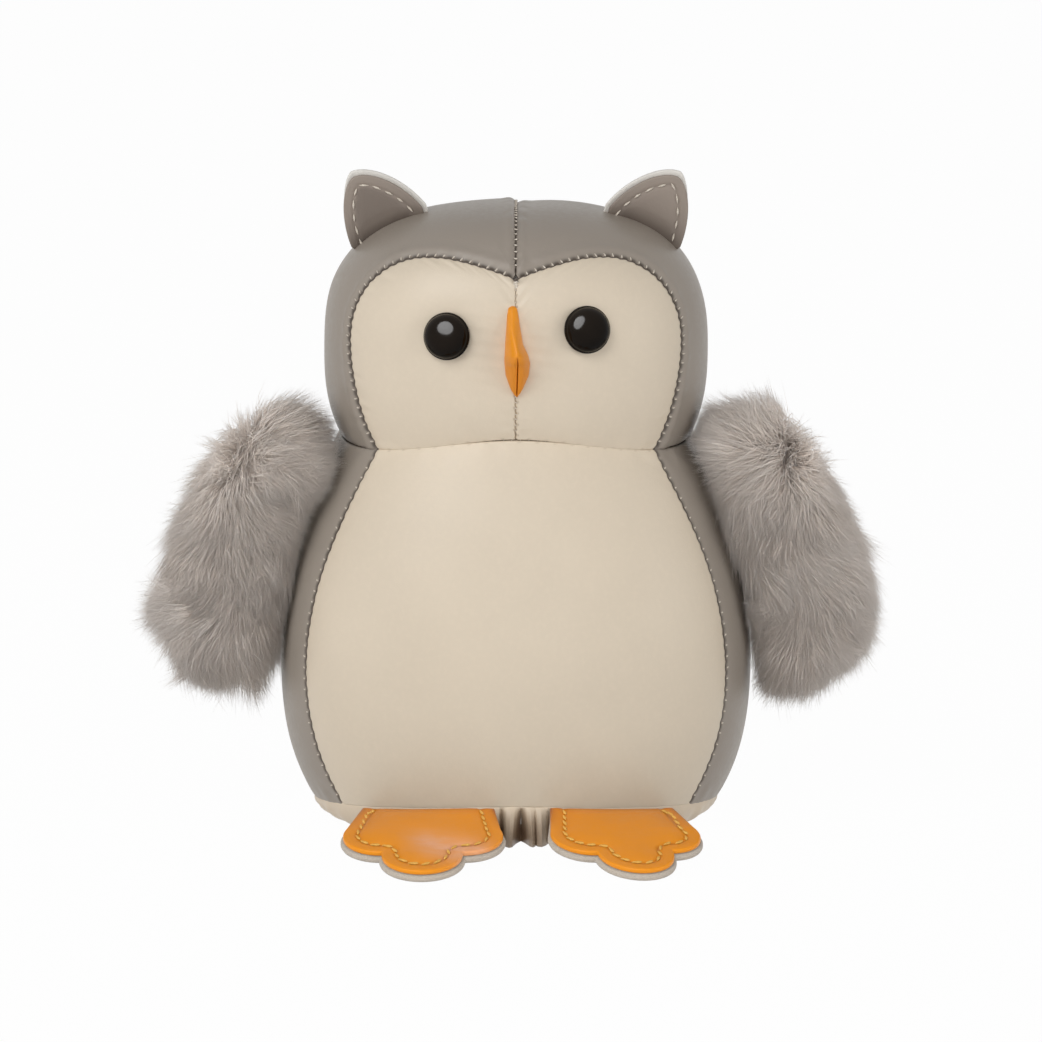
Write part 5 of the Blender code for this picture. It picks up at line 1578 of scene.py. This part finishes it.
def buildPile(name, side, sign, front, seed, whorl):
    lots = np.random.default_rng(seed)
    at = np.array((0.0, 0.5, 1.0))
    lockAngle = lots.uniform(0, math.tau, pile["locks"])
    lockRing = np.sqrt(lots.uniform(0.0, 1, pile["locks"])) * 0.985
    guides, guideRoots = hairPaths(sign, front, lockAngle, lockRing, lots, 0.40, at, 0.75,
                                   pile["lockSpill"], whorl)
    count = ofSide(pile["hairs"], front)
    angle = lots.uniform(0, math.tau, count)
    ring = np.clip(lots.uniform(0.0, 1, count) ** 0.42, 0.01, 0.9992)
    paths, roots = hairPaths(sign, front, angle, ring, lots, 0.24, at, 0.4, pile["spill"], whorl)
    # each hair bends to the tip of the lock nearest to it
    near = np.concatenate([np.linalg.norm(part[:, None] - guideRoots[None], axis=-1).argmin(1)
                           for part in np.array_split(roots, 8)])
    hold = pile["clump"] * lots.uniform(0.45, 1.15, count)[:, None, None] * at[None, :, None] ** 0.8
    offset = (roots - guideRoots[near])[:, None] * 0.30
    paths = paths * (1 - hold) + (guides[near] + offset) * hold
    # tips stray a little, and round the rim they stray more across the seam
    stray = np.full((count, 1, 3), pile["stray"])
    stray[:, 0, 1] *= 1 + pile["rimStray"] * rimShare(ring) ** 2
    paths = clearOfTorso(paths + lots.normal(size=paths.shape) * stray * at[None, :, None], pile["clear"])
    ways = unit(np.gradient(paths, axis=1))
    aside = unit(np.cross(ways, lots.normal(size=(count, 1, 3))))
    over = np.cross(ways, aside)
    thick = pile["width"] * lots.uniform(*pile["thick"], count)[:, None] * (1 - pile["thinning"] * at) / 2
    # three-sided strands: two rings of three points, and the tip
    spots = []
    for k in range(2):
        for corner in range(3):
            turn = math.tau * corner / 3
            shift = aside[:, k] * math.cos(turn) + over[:, k] * math.sin(turn)
            spots.append(paths[:, k] + shift * thick[:, k:k + 1])
    spots = np.stack([*spots, paths[:, 2]], 1).reshape(-1, 3)
    quads = [(c, (c + 1) % 3, (c + 1) % 3 + 3, c + 3) for c in range(3)]
    tips = [(3 + c, 3 + (c + 1) % 3, 6) for c in range(3)] + [(2, 1, 0)]
    first = np.arange(count)[:, None, None] * 7
    faces = [face for table in (quads, tips)
             for face in (first + np.array(table)).reshape(-1, len(table[0])).tolist()]
    obj = meshPiece(name, spots, faces)
    lockTone = lots.uniform(0, 1, pile["locks"])
    tone = np.stack([np.tile(np.repeat(at, (3, 3, 1)), count), np.repeat(lots.uniform(0, 1, count), 7),
                     np.repeat(lockTone[near], 7), np.ones(count * 7)], -1)
    layer = obj.data.attributes.new("pile", "FLOAT_COLOR", "POINT")
    layer.data.foreach_set("color", tone.astype(np.float32).ravel())
    finishPiece(obj, greyPile, "wing_" + side, "fur_fabric", sharp=180)


for side, sign in sides:
    for half, front in (("front", -1), ("back", 1)):
        buildPelt(side, sign, half, front)
    for layer, front in (("front_under", -1), ("front_over", -1), ("back", 1)):
        seed = 70 + 5 * sign + len(layer)
        buildPile(f"wing_{side}_{layer}_pile", side, sign, front, seed, pile["whorls"][layer])
    print("wing", side, "has its pile")


# filling, pouch and the small hard parts inside

def clothFinish():
    material, tree, shader = newFinish("pouchCloth", 0.9, 0.2)
    wave = {"Vector": addNode(tree, "ShaderNodeTexCoord").outputs["Object"], "Scale": 420, "Distortion": 0.6}
    warp, weft = (addNode(tree, "ShaderNodeTexWave", wave, bands_direction=way) for way in "XY")
    weave = sumOf(tree, warp.outputs["Fac"], weft.outputs["Fac"], "MAXIMUM")
    tone = blendColour(tree, weave, (0.46, 0.44, 0.40), (0.66, 0.64, 0.60))
    tree.links.new(tone, shader.inputs["Base Color"])
    addBump(tree, shader, weave, 0.0002, 0.7)
    return material


def washerFinish():
    material, tree, shader = newFinish("washerPlastic", 0.42, 0.5)
    tone = blendColour(tree, noiseNode(tree, 260, 3), (0.68, 0.68, 0.66), (0.78, 0.78, 0.76))
    tree.links.new(tone, shader.inputs["Base Color"])
    addBump(tree, shader, noiseNode(tree, 3000, 2), 0.00002, 0.4)
    return material


def lumpyCopy(node, name, bodyName, finish, slot, lump, size, seed, cuts=2):
    # a copy of the plain solid, made finer and drawn in here and there like packed filling
    obj = bpy.data.objects.new(name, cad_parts[node].data.copy())
    scene.collection.objects.link(obj)
    weldPiece(obj, 0.00001)
    editWhole(obj, lambda: bpy.ops.mesh.subdivide(number_cuts=cuts, smoothness=0))
    spots = readPoints(obj.data)
    swell, lumps = (0.5 + 0.5 * np.clip(waveField(spots, reach, draw, 14), -1, 1)
                    for reach, draw in ((size, seed), (size / 4, seed + 1)))
    dent = lump * (swell + 0.3 * lumps)
    movePoints(obj.data, spots - readPoints(obj.data, "normal") * dent[:, None])
    finishPiece(obj, finish, bodyName, slot, node, sharp=80)


fibre = grainyFinish("fibreFilling", 0.95, 0.15, (500, 6, 0.7), ((0.62, 0.61, 0.58), (0.86, 0.85, 0.83)),
                     (0.0006, 0.9), sheen=(0.3,))
lumpyCopy("body_stuffing", "body_filling", "torso", fibre, "fibre_filling", 0.0010, 0.012, 81)
lumpyCopy("head_stuffing", "head_filling", "torso", fibre, "fibre_filling", 0.0008, 0.012, 82, 1)
lumpyCopy("pellet_pouch", "pouch_of_pellets", "torso", clothFinish(), "pellet_pouch_cloth",
          0.0005, 0.004, 83)
for side, sign in sides:
    lumpyCopy(f"wing_{side}_stuffing", f"wing_{side}_filling", "wing_" + side, fibre, "fibre_filling",
              0.0004, 0.008, 84 + sign)


def refinish(node, material):
    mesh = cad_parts[node].data
    for place in range(len(mesh.materials)):
        mesh.materials[place] = material


greyBoard = grainyFinish("greyBoard", 0.85, 0.2, (1200, 5, 0.75), ((0.34, 0.31, 0.27), (0.52, 0.48, 0.43)),
                         (0.0001, 0.5), narrow=(0.3, 0.7))
refinish("base_board", greyBoard)
washer = washerFinish()
for side, sign in sides:
    refinish("eye_washer_" + side, washer)
print("filling and hard parts are in")
